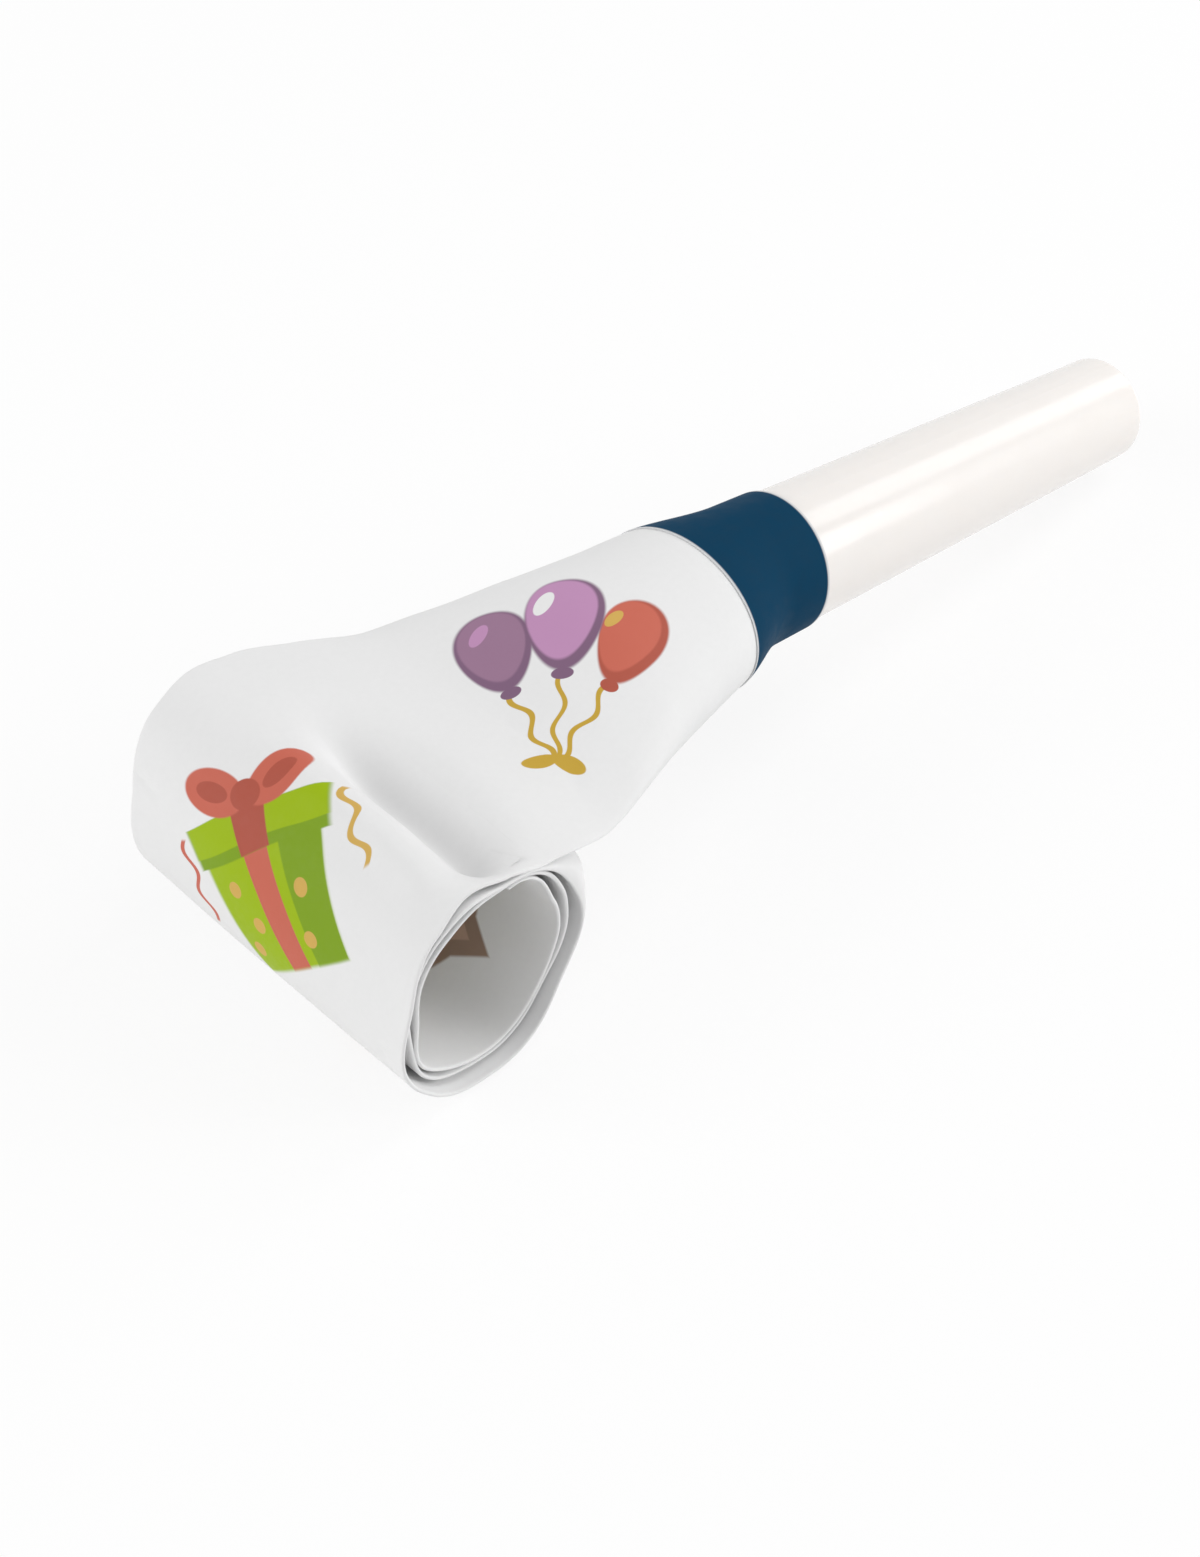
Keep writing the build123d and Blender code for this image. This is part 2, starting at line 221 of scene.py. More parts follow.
GIFT = (
    ("ribbon", (-10.2, 0.6), (1.0, 4.2), -12, "coral"),
    ("ribbon", (10.4, 1.2), (1.0, 4.0), 14, "tan"),
    ("box", (0.0, -3.4), (7.2, 6.0), 0, "lime"),
    ("box", (5.0, -3.4), (2.2, 6.0), 0, "lime_dark"),
    ("box", (0.0, -3.4), (1.5, 6.0), 0, "coral"),
    ("box", (0.0, 3.4), (8.2, 1.9), 0, "lime_dark"),
    ("box", (0.0, 3.9), (8.2, 1.4), 0, "lime"),
    ("box", (0.0, 3.4), (1.8, 1.9), 0, "coral_dark"),
    ("oval", (-3.2, 7.2), (3.4, 1.9), -28, "coral"),
    ("oval", (3.2, 7.2), (3.4, 1.9), 28, "coral"),
    ("oval", (-3.4, 7.3), (1.8, 0.8), -28, "coral_dark"),
    ("oval", (3.4, 7.3), (1.8, 0.8), 28, "coral_dark"),
    ("oval", (0.0, 6.2), (1.5, 1.3), 0, "coral_dark"),
    ("oval", (-4.4, -0.9), (0.8, 0.8), 0, "tan"),
    ("oval", (-3.2, -4.6), (0.8, 0.8), 0, "tan"),
    ("oval", (-5.5, -6.8), (0.8, 0.8), 0, "tan"),
    ("oval", (4.2, -2.6), (0.8, 0.8), 0, "tan"),
    ("oval", (3.2, -6.9), (0.8, 0.8), 0, "tan"),
)
STARS = (
    ("star", (0.0, 0.6), (7.0, 7.0), 10, "bark"),
    ("star", (-0.3, 0.9), (4.6, 4.6), 10, "clay"),
    ("star", (8.8, 6.8), (3.2, 3.2), -14, "tan"),
    ("star", (-9.0, -5.6), (3.4, 3.4), 30, "clay"),
    ("oval", (-7.4, 7.2), (1.0, 1.0), 0, "mustard"),
)
MOTIFS = ((BALLOONS, (-20.0, 1.0)), (GIFT, (14.0, -1.0)), (STARS, (45.0, 6.0)))
MOTIF_TURN = 135.0  # upright across the strip, seen from the front
MOTIF_STEP = 32.0
FIRST_PRINT = min(centre[0] for _, centre in MOTIFS) - MOTIF_STEP / 2
INNER_PLY_SHIFT = -36.0  # along the strip, between the print of its two plies
BLANK = 400.0  # across the strip, where nothing is printed
SOFT_EDGE = 0.05  # of a form's half size, the ink's edge
BALLOON_TAPER = 0.17  # of its half width, towards the knot
STAR_LEAN = math.radians(54)  # of the sides of a five-pointed star
RIBBON_SWING, RIBBON_EDGE = 0.6, 0.68  # of its half width: how far it winds, and what it leaves free


def ink_form(name):
    """Node group of one printed form: where a point, in half sizes of the form, is inside it."""
    group = bpy.data.node_groups.new("ink_" + name, "ShaderNodeTree")
    group.interface.new_socket("Vector", in_out="INPUT", socket_type="NodeSocketVector")
    group.interface.new_socket("Inside", in_out="OUTPUT", socket_type="NodeSocketFloat")
    source = add_node(group, "NodeGroupInput")
    place = add_node(group, "ShaderNodeSeparateXYZ", {0: source.outputs[0]})
    x, y = place.outputs[0], place.outputs[1]
    if name == "balloon":
        taper = {0: y, 1: BALLOON_TAPER, 2: 1 - BALLOON_TAPER}
        width = add_node(group, MATH, taper, operation="MULTIPLY_ADD").outputs[0]
        x = add_node(group, MATH, {0: x, 1: width}, operation="DIVIDE").outputs[0]
    side = add_node(group, MATH, {0: x}, operation="ABSOLUTE").outputs[0]
    up = add_node(group, MATH, {0: y}, operation="ABSOLUTE").outputs[0]
    if name in ("oval", "balloon"):
        flat = add_node(group, COMBINE, {0: x, 1: y}).outputs[0]
        reach = add_node(group, VECTOR_MATH, {0: flat}, operation="LENGTH").outputs["Value"]
    elif name == "box":
        reach = add_node(group, MATH, {0: side, 1: up}, operation="MAXIMUM").outputs[0]
    elif name == "star":
        angle = add_node(group, MATH, {0: x, 1: y}, operation="ARCTAN2").outputs[0]
        fold = add_node(group, MATH, {0: angle, 1: math.pi / 5}, operation="PINGPONG").outputs[0]
        lean = add_node(group, MATH, {0: fold, 1: STAR_LEAN}, operation="SUBTRACT").outputs[0]
        share = add_node(group, MATH, {0: lean}, operation="COSINE").outputs[0]
        flat = add_node(group, COMBINE, {0: x, 1: y}).outputs[0]
        far = add_node(group, VECTOR_MATH, {0: flat}, operation="LENGTH").outputs["Value"]
        reach = add_node(group, MATH, {0: far, 1: share}, operation="MULTIPLY").outputs[0]
        reach = add_node(group, MATH, {0: reach, 1: math.cos(STAR_LEAN)}, operation="DIVIDE").outputs[0]
    else:
        wave = add_node(group, MATH, {0: y, 1: math.pi * 2}, operation="MULTIPLY").outputs[0]
        bend = add_node(group, MATH, {0: wave}, operation="SINE").outputs[0]
        off = add_node(group, MATH, {0: bend, 1: -RIBBON_SWING, 2: x}, operation="MULTIPLY_ADD").outputs[0]
        off = add_node(group, MATH, {0: off}, operation="ABSOLUTE").outputs[0]
        off = add_node(group, MATH, {0: off, 1: RIBBON_EDGE}, operation="ADD").outputs[0]
        reach = add_node(group, MATH, {0: off, 1: up}, operation="MAXIMUM").outputs[0]
    edge = {0: reach, 1: 1 + SOFT_EDGE, 2: 1 - SOFT_EDGE, 3: 0.0, 4: 1.0}
    inside = add_node(group, MAP_RANGE, edge, interpolation_type="SMOOTHSTEP").outputs[0]
    add_node(group, "NodeGroupOutput", {0: inside})
    return group


COATED_IOR = 1.5
FIBRE, FIBRE_RISE = 0.25, 0.03  # length and height of the fibre relief as drawn


def printed_paper():
    """Coated paper, offset printed. The coating gives a soft sheen over a fine, uneven fibre bed,
    and the inks are flat and sharp-edged."""
    material, output = new_material("coated_paper_offset_printed")
    tree = material.node_tree
    forms = {name: ink_form(name) for name in ("oval", "balloon", "box", "star", "ribbon")}
    strip = add_node(tree, "ShaderNodeUVMap", uv_map="strip").outputs[0]
    place = add_node(tree, "ShaderNodeSeparateXYZ", {0: strip})
    repeat = {0: place.outputs[0], 1: FIRST_PRINT + MOTIF_STEP * len(MOTIFS), 2: FIRST_PRINT}
    wrapped = add_node(tree, MATH, repeat, operation="WRAP")
    sheet = add_node(tree, COMBINE, {0: wrapped.outputs[0], 1: place.outputs[1]}).outputs[0]

    # Fibres about 0.6 mm long make the white slightly cloudy.
    coordinates = add_node(tree, COORDINATES).outputs["Object"]
    clouds = {"Vector": coordinates, "Scale": 1 / (0.6 * MM), "Detail": 3.0}
    clouds = add_node(tree, NOISE, clouds).outputs[0]
    shade = {0: clouds, **SPREAD, 3: 0.985, 4: 1.0}
    shade = add_node(tree, MAP_RANGE, shade).outputs[0]
    white = add_node(tree, MIX, {0: shade, 6: (0, 0, 0, 1), 7: ink("paper")}, data_type="RGBA")
    surface = white.outputs[2]
    for motif, centre in MOTIFS:
        turned = {"Vector": sheet, "Location": (*centre, 0), "Rotation": (0, 0, math.radians(MOTIF_TURN))}
        local = add_node(tree, MAPPING, turned, vector_type="TEXTURE").outputs[0]
        for form, middle, half, turn, name in motif:
            fitted = {
                "Vector": local, "Location": (*middle, 0),
                "Rotation": (0, 0, math.radians(turn)), "Scale": (*half, 1),
            }
            fitted = add_node(tree, MAPPING, fitted, vector_type="TEXTURE").outputs[0]
            inside = add_node(tree, "ShaderNodeGroup", node_tree=forms[form])
            tree.links.new(fitted, inside.inputs[0])
            inked = {0: inside.outputs[0], 6: surface, 7: ink(name)}
            surface = add_node(tree, MIX, inked, data_type="RGBA").outputs[2]

    # Fibre relief, drawn coarser than it is, and a cockle of about 5 mm, as thin paper takes from handling.
    fibres = {"Vector": coordinates, "Scale": 1 / (FIBRE * MM), "Detail": 4.0}
    fibres = add_node(tree, NOISE, fibres).outputs[0]
    cockle = {"Vector": coordinates, "Scale": 1 / (5 * MM), "Detail": 1.0}
    cockle = add_node(tree, NOISE, cockle).outputs[0]
    relief = {"Height": fibres, "Strength": 0.12, "Distance": FIBRE_RISE * MM}
    relief = add_node(tree, BUMP, relief).outputs[0]
    waves = {"Height": cockle, "Strength": 0.35, "Distance": 0.35 * MM, "Normal": relief}
    waves = add_node(tree, BUMP, waves).outputs[0]
    coating = {0: clouds, **SPREAD, 3: 0.46, 4: 0.60}
    coating = add_node(tree, MAP_RANGE, coating).outputs[0]
    coat = {
        "Base Color": surface, "Roughness": coating, "IOR": COATED_IOR, "Specular IOR Level": 0.16,
        "Normal": waves,
    }
    shader = add_node(tree, PRINCIPLED, coat)
    tree.links.new(shader.outputs[0], output.inputs[0])
    return material


def navy_paper(start, width):
    """Coated paper, printed solid navy. The ink film is even and nearly matt, and the white core shows
    along the two cut edges."""
    material, output = new_material("coated_paper_solid_navy")
    tree = material.node_tree
    strip = add_node(tree, "ShaderNodeUVMap", uv_map="strip").outputs[0]
    place = add_node(tree, "ShaderNodeSeparateXYZ", {0: strip}).outputs[0]
    middle = {0: place, 1: start + width / 2}
    middle = add_node(tree, MATH, middle, operation="SUBTRACT").outputs[0]
    middle = add_node(tree, MATH, {0: middle}, operation="ABSOLUTE").outputs[0]
    # A pale line of about 0.2 mm is left where the paper was cut.
    edge = {0: middle, 1: width / 2 - 0.32, 2: width / 2 - 0.12, 3: 0.0, 4: 0.8}
    edge = add_node(tree, MAP_RANGE, edge).outputs[0]
    coordinates = add_node(tree, COORDINATES).outputs["Object"]
    # The ink film is cloudy over about 1.5 mm.
    film = {"Vector": coordinates, "Scale": 1 / (1.5 * MM), "Detail": 4.0}
    film = add_node(tree, NOISE, film).outputs[0]
    tone = {0: film, **SPREAD, 3: 0.93, 4: 1.0}
    tone = add_node(tree, MAP_RANGE, tone).outputs[0]
    solid = {0: tone, 6: (0, 0, 0, 1), 7: ink("navy")}
    solid = add_node(tree, MIX, solid, data_type="RGBA").outputs[2]
    surface = {0: edge, 6: solid, 7: ink("paper")}
    surface = add_node(tree, MIX, surface, data_type="RGBA").outputs[2]
    fibres = {"Vector": coordinates, "Scale": 1 / (FIBRE * MM), "Detail": 4.0}
    fibres = add_node(tree, NOISE, fibres).outputs[0]
    relief = {"Height": fibres, "Strength": 0.15, "Distance": FIBRE_RISE * MM}
    relief = add_node(tree, BUMP, relief).outputs[0]
    sheen = {0: film, **SPREAD, 3: 0.55, 4: 0.68}
    sheen = add_node(tree, MAP_RANGE, sheen).outputs[0]
    coat = {
        "Base Color": surface, "Roughness": sheen, "IOR": COATED_IOR, "Specular IOR Level": 0.04,
        "Normal": relief,
    }
    shader = add_node(tree, PRINCIPLED, coat)
    tree.links.new(shader.outputs[0], output.inputs[0])
    return material


FLOW_MARK = (0.8, 0.75, 0.7, 1)  # tint of the mouthpiece's flow marks, of which little shows


def milky_polypropylene():
    """Polypropylene, injection moulded in a polished tool. It is glossy, lets light through its
    wall and shows what is inside as a soft shade."""
    material, output = new_material("polypropylene_moulded_milky")
    tree = material.node_tree
    coordinates = add_node(tree, COORDINATES).outputs["Object"]
    # Flow marks of about 6 mm.
    flow = {"Vector": coordinates, "Scale": 1 / (6 * MM), "Detail": 2.0}
    flow = add_node(tree, NOISE, flow).outputs[0]
    tone = {0: flow, **SPREAD, 3: 0.97, 4: 1.0}
    tone = add_node(tree, MAP_RANGE, tone).outputs[0]
    white = {0: tone, 6: FLOW_MARK, 7: ink("plastic")}
    white = add_node(tree, MIX, white, data_type="RGBA").outputs[2]
    gloss = {0: flow, **SPREAD, 3: 0.14, 4: 0.22}
    gloss = add_node(tree, MAP_RANGE, gloss).outputs[0]
    marks = {"Height": flow, "Strength": 0.2, "Distance": 0.15 * MM}
    marks = add_node(tree, BUMP, marks).outputs[0]
    moulded = {
        "Base Color": white, "Roughness": gloss, "IOR": 1.49, "Transmission Weight": 0.07,
        "Subsurface Weight": 0.3, "Subsurface Radius": (1.0, 0.95, 0.9), "Subsurface Scale": 0.6 * MM,
        "Normal": marks,
    }
    shader = add_node(tree, PRINCIPLED, moulded)
    tree.links.new(shader.outputs[0], output.inputs[0])
    return material


def moulded_polystyrene():
    """Polystyrene, injection moulded. A plain white with a dull shine and a fine tool texture."""
    material, output = new_material("polystyrene_moulded")
    tree = material.node_tree
    coordinates = add_node(tree, COORDINATES).outputs["Object"]
    # Spark-eroded tool texture, about 0.3 mm.
    grain = {"Vector": coordinates, "Scale": 1 / (0.3 * MM), "Detail": 3.0}
    grain = add_node(tree, NOISE, grain).outputs[0]
    relief = {"Height": grain, "Strength": 0.2, "Distance": 0.03 * MM}
    relief = add_node(tree, BUMP, relief).outputs[0]
    shine = {0: grain, **SPREAD, 3: 0.35, 4: 0.5}
    shine = add_node(tree, MAP_RANGE, shine).outputs[0]
    moulded = {"Base Color": ink("holder"), "Roughness": shine, "IOR": 1.59, "Normal": relief}
    shader = add_node(tree, PRINCIPLED, moulded)
    tree.links.new(shader.outputs[0], output.inputs[0])
    return material


def worked_metal(name, tint, spacing, stretch, roughness):
    """Metal with fine lines along the way it was rolled or drawn, which streak its shine."""
    material, output = new_material(name)
    tree = material.node_tree
    coordinates = add_node(tree, COORDINATES).outputs["Object"]
    drawn = {"Vector": coordinates, "Scale": stretch}
    drawn = add_node(tree, MAPPING, drawn).outputs[0]
    lines = {"Vector": drawn, "Scale": 1 / (spacing * MM), "Detail": 3.0}
    lines = add_node(tree, NOISE, lines).outputs[0]
    shine = {0: lines, **SPREAD, 3: roughness - 0.08, 4: roughness + 0.1}
    shine = add_node(tree, MAP_RANGE, shine).outputs[0]
    relief = {"Height": lines, "Strength": 0.2, "Distance": 0.01 * MM}
    relief = add_node(tree, BUMP, relief).outputs[0]
    metal = {"Base Color": tint, "Metallic": 1.0, "Roughness": shine, "Normal": relief}
    shader = add_node(tree, PRINCIPLED, metal)
    tree.links.new(shader.outputs[0], output.inputs[0])
    return material


def shared_material(name, make):
    """The material of that name, made once."""
    return bpy.data.materials.get(name) or make()


def paper_material():
    return shared_material("coated_paper_offset_printed", printed_paper)


def ramp(value, start, end):
    """0 before start, 1 after end and a smooth rise between them."""
    t = np.clip((np.asarray(value, float) - start) / (end - start), 0, 1)
    return t * t * (3 - 2 * t)


def swell(value, middle, reach):
    """A smooth bump of height 1 at middle, gone at reach on either side."""
    t = np.clip(1 - np.abs(np.asarray(value, float) - middle) / reach, 0, 1)
    return t * t * (3 - 2 * t)


def link_step(size):
    """Degrees of the roll that one link takes up."""
    return 360 * size["turns"] / LINKS


def roll_arcs(size):
    """The roll's middle surface as tangent arcs: centre x, centre z, radius and start angle. Angles
    run in degrees from straight up towards +x, the way the strip winds."""
    first = HINGES["unroll_01"]
    step = link_step(size)
    half = size["strip_thickness"] / 2
    centre_x, centre_z, last = first.x, first.z - half, 0.0
    arcs = []
    for link in range(LINKS):
        start = link * step
        radius = size["roll_radius"] - half - size["roll_pitch"] * (start + step / 2) / 360
        centre_x += (last - radius) * math.sin(math.radians(start))
        centre_z += (last - radius) * math.cos(math.radians(start))
        arcs.append((centre_x, centre_z, radius, start))
        last = radius
    return arcs


def on_arc(arc, angle, out, y):
    """Points at an angle on an arc, moved outwards by out and across by y."""
    turn = np.radians(angle)
    reach = arc[2] + out
    return np.stack(np.broadcast_arrays(arc[0] + reach * np.sin(turn), y, arc[1] + reach * np.cos(turn)), -1)


def loop_angles(size):
    """Angles round the tube's section, from the near fold over the outer ply and back under it."""
    return np.linspace(0, 2 * math.pi, int(size["loop"]), endpoint=False)


# How the roll lies out of round at its near end and at its far end: (angle, reach, rise), in degrees
# round the roll and in millimetres. Then where across the strip the near form sets in and the far one ends.
NEAR_FORM = ((20, 20, 0.3), (93, 48, -1.1), (240, 48, -1.25))
FAR_FORM = ((44, 44, 1.05), (96, 36, -0.7))
NEAR_ACROSS, FAR_ACROSS = (-8, 17), (-17, 8)
# Angle and reach of what the ends of the turns do, and the turns in which it sets in. At the near end the
# inner ones are pressed to the neck and tucked in beside the shoulder, the second lies against the third,
# and the outer one swells and folds. At the far end the inner ones are loose.
PRESSED, TUCKED, NESTED, LOOSE = (350, 38), (272, 64), (482, 40), (190, 90)
PRESSED_TURNS, TUCKED_TURNS, LOOSE_TURNS = (0.8, 0.98), (0.9, 1.2), (0.9, 1.15)
PRESSED_RISE, LOOSE_RISE, LOOSE_FROM = 0.53, 0.35, 0.6  # rises for each turn, the second from a turn on
TUCKED_DROP, TUCKED_GROWTH, NESTED_DROP = 0.6, 0.5, 0.7
POCKET, SHOULDER, PUFF = (163, 26), (298, 34), (308, 36)
EDGE_REACH, POCKET_REACH, SHOULDER_REACH = 7.0, 4.2, 1.6  # in from the strip's edge
ROLL_TOP = (0.3, 0.8)  # cosines of the angles between which the roll's top begins
# Ripples of the two fold edges: (share, waves in a turn, start), and the angles where they set in.
NEAR_RIPPLE = ((1.0, 3.7, 1.1), (0.8, 6.3, 2.4))
FAR_RIPPLE = ((1.0, 4.3, 0.4), (0.7, 7.1, 1.9))
RIPPLE_STARTS = (4, 40)
# Creases of the outer turn: (angle, y, half length, half width, turn in degrees, depth), in millimetres
# with the length round the roll before it is turned.
ROLL_CREASES = (
    (72, -16.6, 0.35, 2.2, -12.0, 0.22),
    (112, 15.6, 0.3, 1.0, -50.0, 0.2),
    (126, 16.6, 0.3, 1.2, -50.0, 0.25),
)
# The valley that the neck presses into the roll, in millimetres: how far its bottom lies before the first
# hinge, how it leans to the roll at its near end, and its reach towards the neck and the roll. Then the
# crest's place and reach from the bottom, and between which places across the valley begins and ends.
VALLEY_BEFORE_HINGE = 0.3
VALLEY_LEAN, VALLEY_LEANS_FROM = 0.08, 8
VALLEY_TO_NECK, VALLEY_TO_ROLL = 3.4, 2.9
CREST_PLACE, CREST_REACH = 5.2, 2.2
VALLEY_BEGINS, VALLEY_ENDS = (-12, 2), (13.5, 18.5)
VALLEY_LOSS = 0.92  # share of it that is gone at its near end


def around(angle, middle, reach):
    """A bump as swell gives it, at the same place round the roll in every turn."""
    return swell((angle - middle + 180) % 360, 180, reach)


def neck_valley(size, x, y):
    """Rise of the valley that the neck presses into the top of the roll, and of the crest beside it, at
    a place seen from above."""
    lean = VALLEY_LEAN * np.maximum(y - VALLEY_LEANS_FROM, 0)
    past = x - (HINGES["unroll_01"].x - VALLEY_BEFORE_HINGE + lean)
    across = ramp(y, *VALLEY_BEGINS) * (1 - VALLEY_LOSS * ramp(y, *VALLEY_ENDS))
    valley = np.exp(-((past / np.where(past < 0, VALLEY_TO_NECK, VALLEY_TO_ROLL)) ** 2))
    crest = np.exp(-(((past - CREST_PLACE) / CREST_REACH) ** 2))
    return across * (size["crest"] * crest - size["valley"] * valley)


def crease(along, across, half_length, half_width, turn):
    """A crease or a bump, 1 at its middle, at a place along and across from there."""
    t = math.radians(turn)
    a = (along * math.cos(t) + across * math.sin(t)) / half_length
    b = (across * math.cos(t) - along * math.sin(t)) / half_width
    return np.exp(-(a**2) - b**2)


def edge_play(size, angle, y):
    """How far the strip lies out of its winding at an angle and a place across it."""
    half = size["strip_width"] / 2
    turn = angle / 360
    near = np.exp(-(((half - y) / EDGE_REACH) ** 2))
    far = np.exp(-(((half + y) / EDGE_REACH) ** 2))
    near_form = sum(rise * around(angle, middle, reach) for middle, reach, rise in NEAR_FORM)
    far_form = sum(rise * around(angle, middle, reach) for middle, reach, rise in FAR_FORM)
    play = near_form * ramp(y, *NEAR_ACROSS) + far_form * (1 - ramp(y, *FAR_ACROSS))
    play = play + near * ramp(turn, *PRESSED_TURNS) * around(angle, *PRESSED) * PRESSED_RISE * turn
    tucked = TUCKED_DROP + TUCKED_GROWTH * max(turn - TUCKED_TURNS[1], 0)
    play = play - near * ramp(turn, *TUCKED_TURNS) * around(angle, *TUCKED) * tucked
    play = play - near * swell(angle, *NESTED) * NESTED_DROP
    loose = LOOSE_RISE * max(turn - LOOSE_FROM, 0)
    play = play + far * ramp(turn, *LOOSE_TURNS) * around(angle, *LOOSE) * loose
    pocket = np.exp(-(((half - y) / POCKET_REACH) ** 2))
    play = play + swell(angle, *POCKET) * size["pocket"] * pocket
    shoulder = np.exp(-(((half - y) / SHOULDER_REACH) ** 2))
    play = play - swell(angle, *SHOULDER) * size["shoulder"] * shoulder
    place_x = HINGES["unroll_01"].x + (size["roll_radius"] - turn) * math.sin(math.radians(angle))
    top = ramp(math.cos(math.radians(angle)), *ROLL_TOP)
    play = play + top * neck_valley(size, place_x, y)
    for middle, crease_y, half_length, half_width, lean, depth in ROLL_CREASES:
        along = math.radians(angle - middle) * size["roll_radius"]
        play = play - depth * crease(along, y - crease_y, half_length, half_width, lean)
    for edge, ripple in ((near, NEAR_RIPPLE), (far, FAR_RIPPLE)):
        wave = sum(share * np.sin(np.radians(angle * waves) + start) for share, waves, start in ripple)
        play = play + ramp(angle, *RIPPLE_STARTS) * size["ripple"] * edge * wave
    return play


# How the winding slips sideways, as (first angle, last angle) and millimetres: the outer turn drifts out,
# by the wander, and comes back, and the inner ones slip a little to each side and sway.
DRIFTS_OUT, COMES_BACK = (42, 82), (200, 310)
START_SLIP, START_SHARE = (22, 22), 0.5  # angle and reach, and share of the wander
INNER_SLIPS = (((400, 560), -0.15), ((640, 1000), 0.3))
SWAY, SWAY_WAVES, SWAY_STARTS = 0.1, 2.3, (0, 90)


def edge_shift(size, angle):
    """How far the winding has wandered across the roll at an angle."""
    outer = ramp(angle, *DRIFTS_OUT) - ramp(angle, *COMES_BACK) - START_SHARE * swell(angle, *START_SLIP)
    inner = sum(slip * ramp(angle, *reach) for reach, slip in INNER_SLIPS)
    sway = SWAY * np.sin(np.radians(angle * SWAY_WAVES)) * ramp(angle, *SWAY_STARTS)
    return size["wander"] * outer + inner + sway


FOLD_RADIUS = 0.2  # of the tube's folds, outside
FOLD_LOSS, LEAST_FOLD = 0.75, 0.005  # share of it that is pressed out at the strip's end, and what stays
PRESSED_END = 35  # degrees of the strip's end that are pressed thin
PRESSED_LOSS, PRESSED_FROM = 0.55, (0.15, 0.5)  # share of the thickness, and shares of the half width
# How sharply the tube thins out to its folds, and the angles between which that changes.
FOLD_SHARPNESS = 0.6
FOLD_CHANGES = (((20, 60), -0.2), ((330, 400), 0.4))
PUFF_ACROSS, PUFF_NOSE = (3, 14), 2.2  # where the puff sets in across the strip, and how it rounds off


def strip_end(size, angle):
    """0 along the strip, rising to 1 at its end."""
    return float(ramp(angle, 360 * size["turns"] - PRESSED_END, 360 * size["turns"]))


def ply_depth(size, angle, share):
    """Thickness of the flattened tube at a share of its half width. It thins out to its folds, more
    sharply in the inner turns, and is pressed thin at its end on both sides of the wire."""
    sharp = FOLD_SHARPNESS + sum(change * ramp(angle, *reach) for reach, change in FOLD_CHANGES)
    pressed = PRESSED_LOSS * strip_end(size, angle) * ramp(np.abs(share), *PRESSED_FROM)
    return size["strip_thickness"] * (1 - pressed) * np.clip(1 - share**2, 0, 1) ** (sharp / 2)


def strip_loop(size, angle, inset):
    """Section of the flattened tube at an angle: its places across and outwards. The outer ply is
    straight, apart from its puff, and the inner ply comes up to it at the round folds. A positive
    inset gives the inside."""
    phi = loop_angles(size)
    half = size["strip_width"] / 2
    thick = size["strip_thickness"]
    y = (half - inset) * np.cos(phi)
    depth = ply_depth(size, angle, np.cos(phi))
    bead = max(FOLD_RADIUS * (1 - FOLD_LOSS * strip_end(size, angle)) - inset, LEAST_FOLD)
    rounded = np.sqrt(bead**2 - np.clip(bead - (half - inset - np.abs(y)), 0, bead) ** 2)
    high = thick / 2 - inset - bead + rounded
    inner = np.maximum(depth - 2 * inset, 2 * rounded)
    from_fold = np.clip((half - inset - y) / PUFF_NOSE, 0, 1)
    nose = np.sqrt(1 - (1 - from_fold) ** 2) * ramp(y, *PUFF_ACROSS)
    puffed = high + size["puff"] * swell(angle, *PUFF) * nose
    out = np.where(np.sin(phi) >= 0, puffed, high - inner)
    return y, out


def strip_rows(size, arc, angles, inset):
    """The tube's loops at angles on one arc."""
    rows = []
    for angle in angles:
        y, out = strip_loop(size, angle, inset)
        out = out + edge_play(size, angle, y)
        rows.append(on_arc(arc, angle, out, y + edge_shift(size, angle)))
    return np.array(rows)


def strip_place(size, angle):
    """Length of strip wound up to an angle."""
    start_r = size["roll_radius"] - size["strip_thickness"] / 2
    return math.radians(1) * (start_r * angle - size["roll_pitch"] * angle**2 / 720)


def loop_lengths(rows):
    """For each loop, the length round it from the middle of its upper side, up to each point."""
    count = rows.shape[1]
    steps = np.linalg.norm(np.roll(rows, -1, axis=1) - rows, axis=2)
    run = np.concatenate([np.zeros((len(rows), 1)), np.cumsum(steps, axis=1)], axis=1)
    upper = run[:, count // 4][:, None] - run[:, : count // 2 + 1]
    lower = run[:, count // 2 :] - run[:, 3 * count // 4][:, None]
    return upper, lower


def paper_shell(outer, inner, along):
    """Points, faces and print places of a paper tube from the loops of its two sides."""
    count, loop = outer.shape[:2]
    points = np.concatenate([outer.reshape(-1, 3), inner.reshape(-1, 3)])
    upper, lower = loop_lengths(outer)
    faces, places = [], []
    blank = ((0, BLANK),) * 4
    for row in range(count - 1):
        for col in range(loop):
            side = (col + 1) % loop
            a, b = row * loop + col, row * loop + side
            faces.append((a, a + loop, b + loop, b))
            if col < loop // 2:
                v, at, shift = upper, col, 0.0
            else:
                v, at, shift = lower, col - loop // 2, INNER_PLY_SHIFT
            near, far = along[row] + shift, along[row + 1] + shift
            here, ahead = v[row, at : at + 2], v[row + 1, at : at + 2]
            places.append(((near, here[0]), (far, ahead[0]), (far, ahead[1]), (near, here[1])))
            a, b = a + count * loop, b + count * loop
            faces.append((a, b, b + loop, a + loop))
            places.append(blank)
    for row in (0, count - 1):
        for col in range(loop):
            a, b = row * loop + col, row * loop + (col + 1) % loop
            inside_a, inside_b = a + count * loop, b + count * loop
            faces.append((a, b, inside_b, inside_a) if row == 0 else (a, inside_a, inside_b, b))
            places.append(blank)
    return points, faces, places


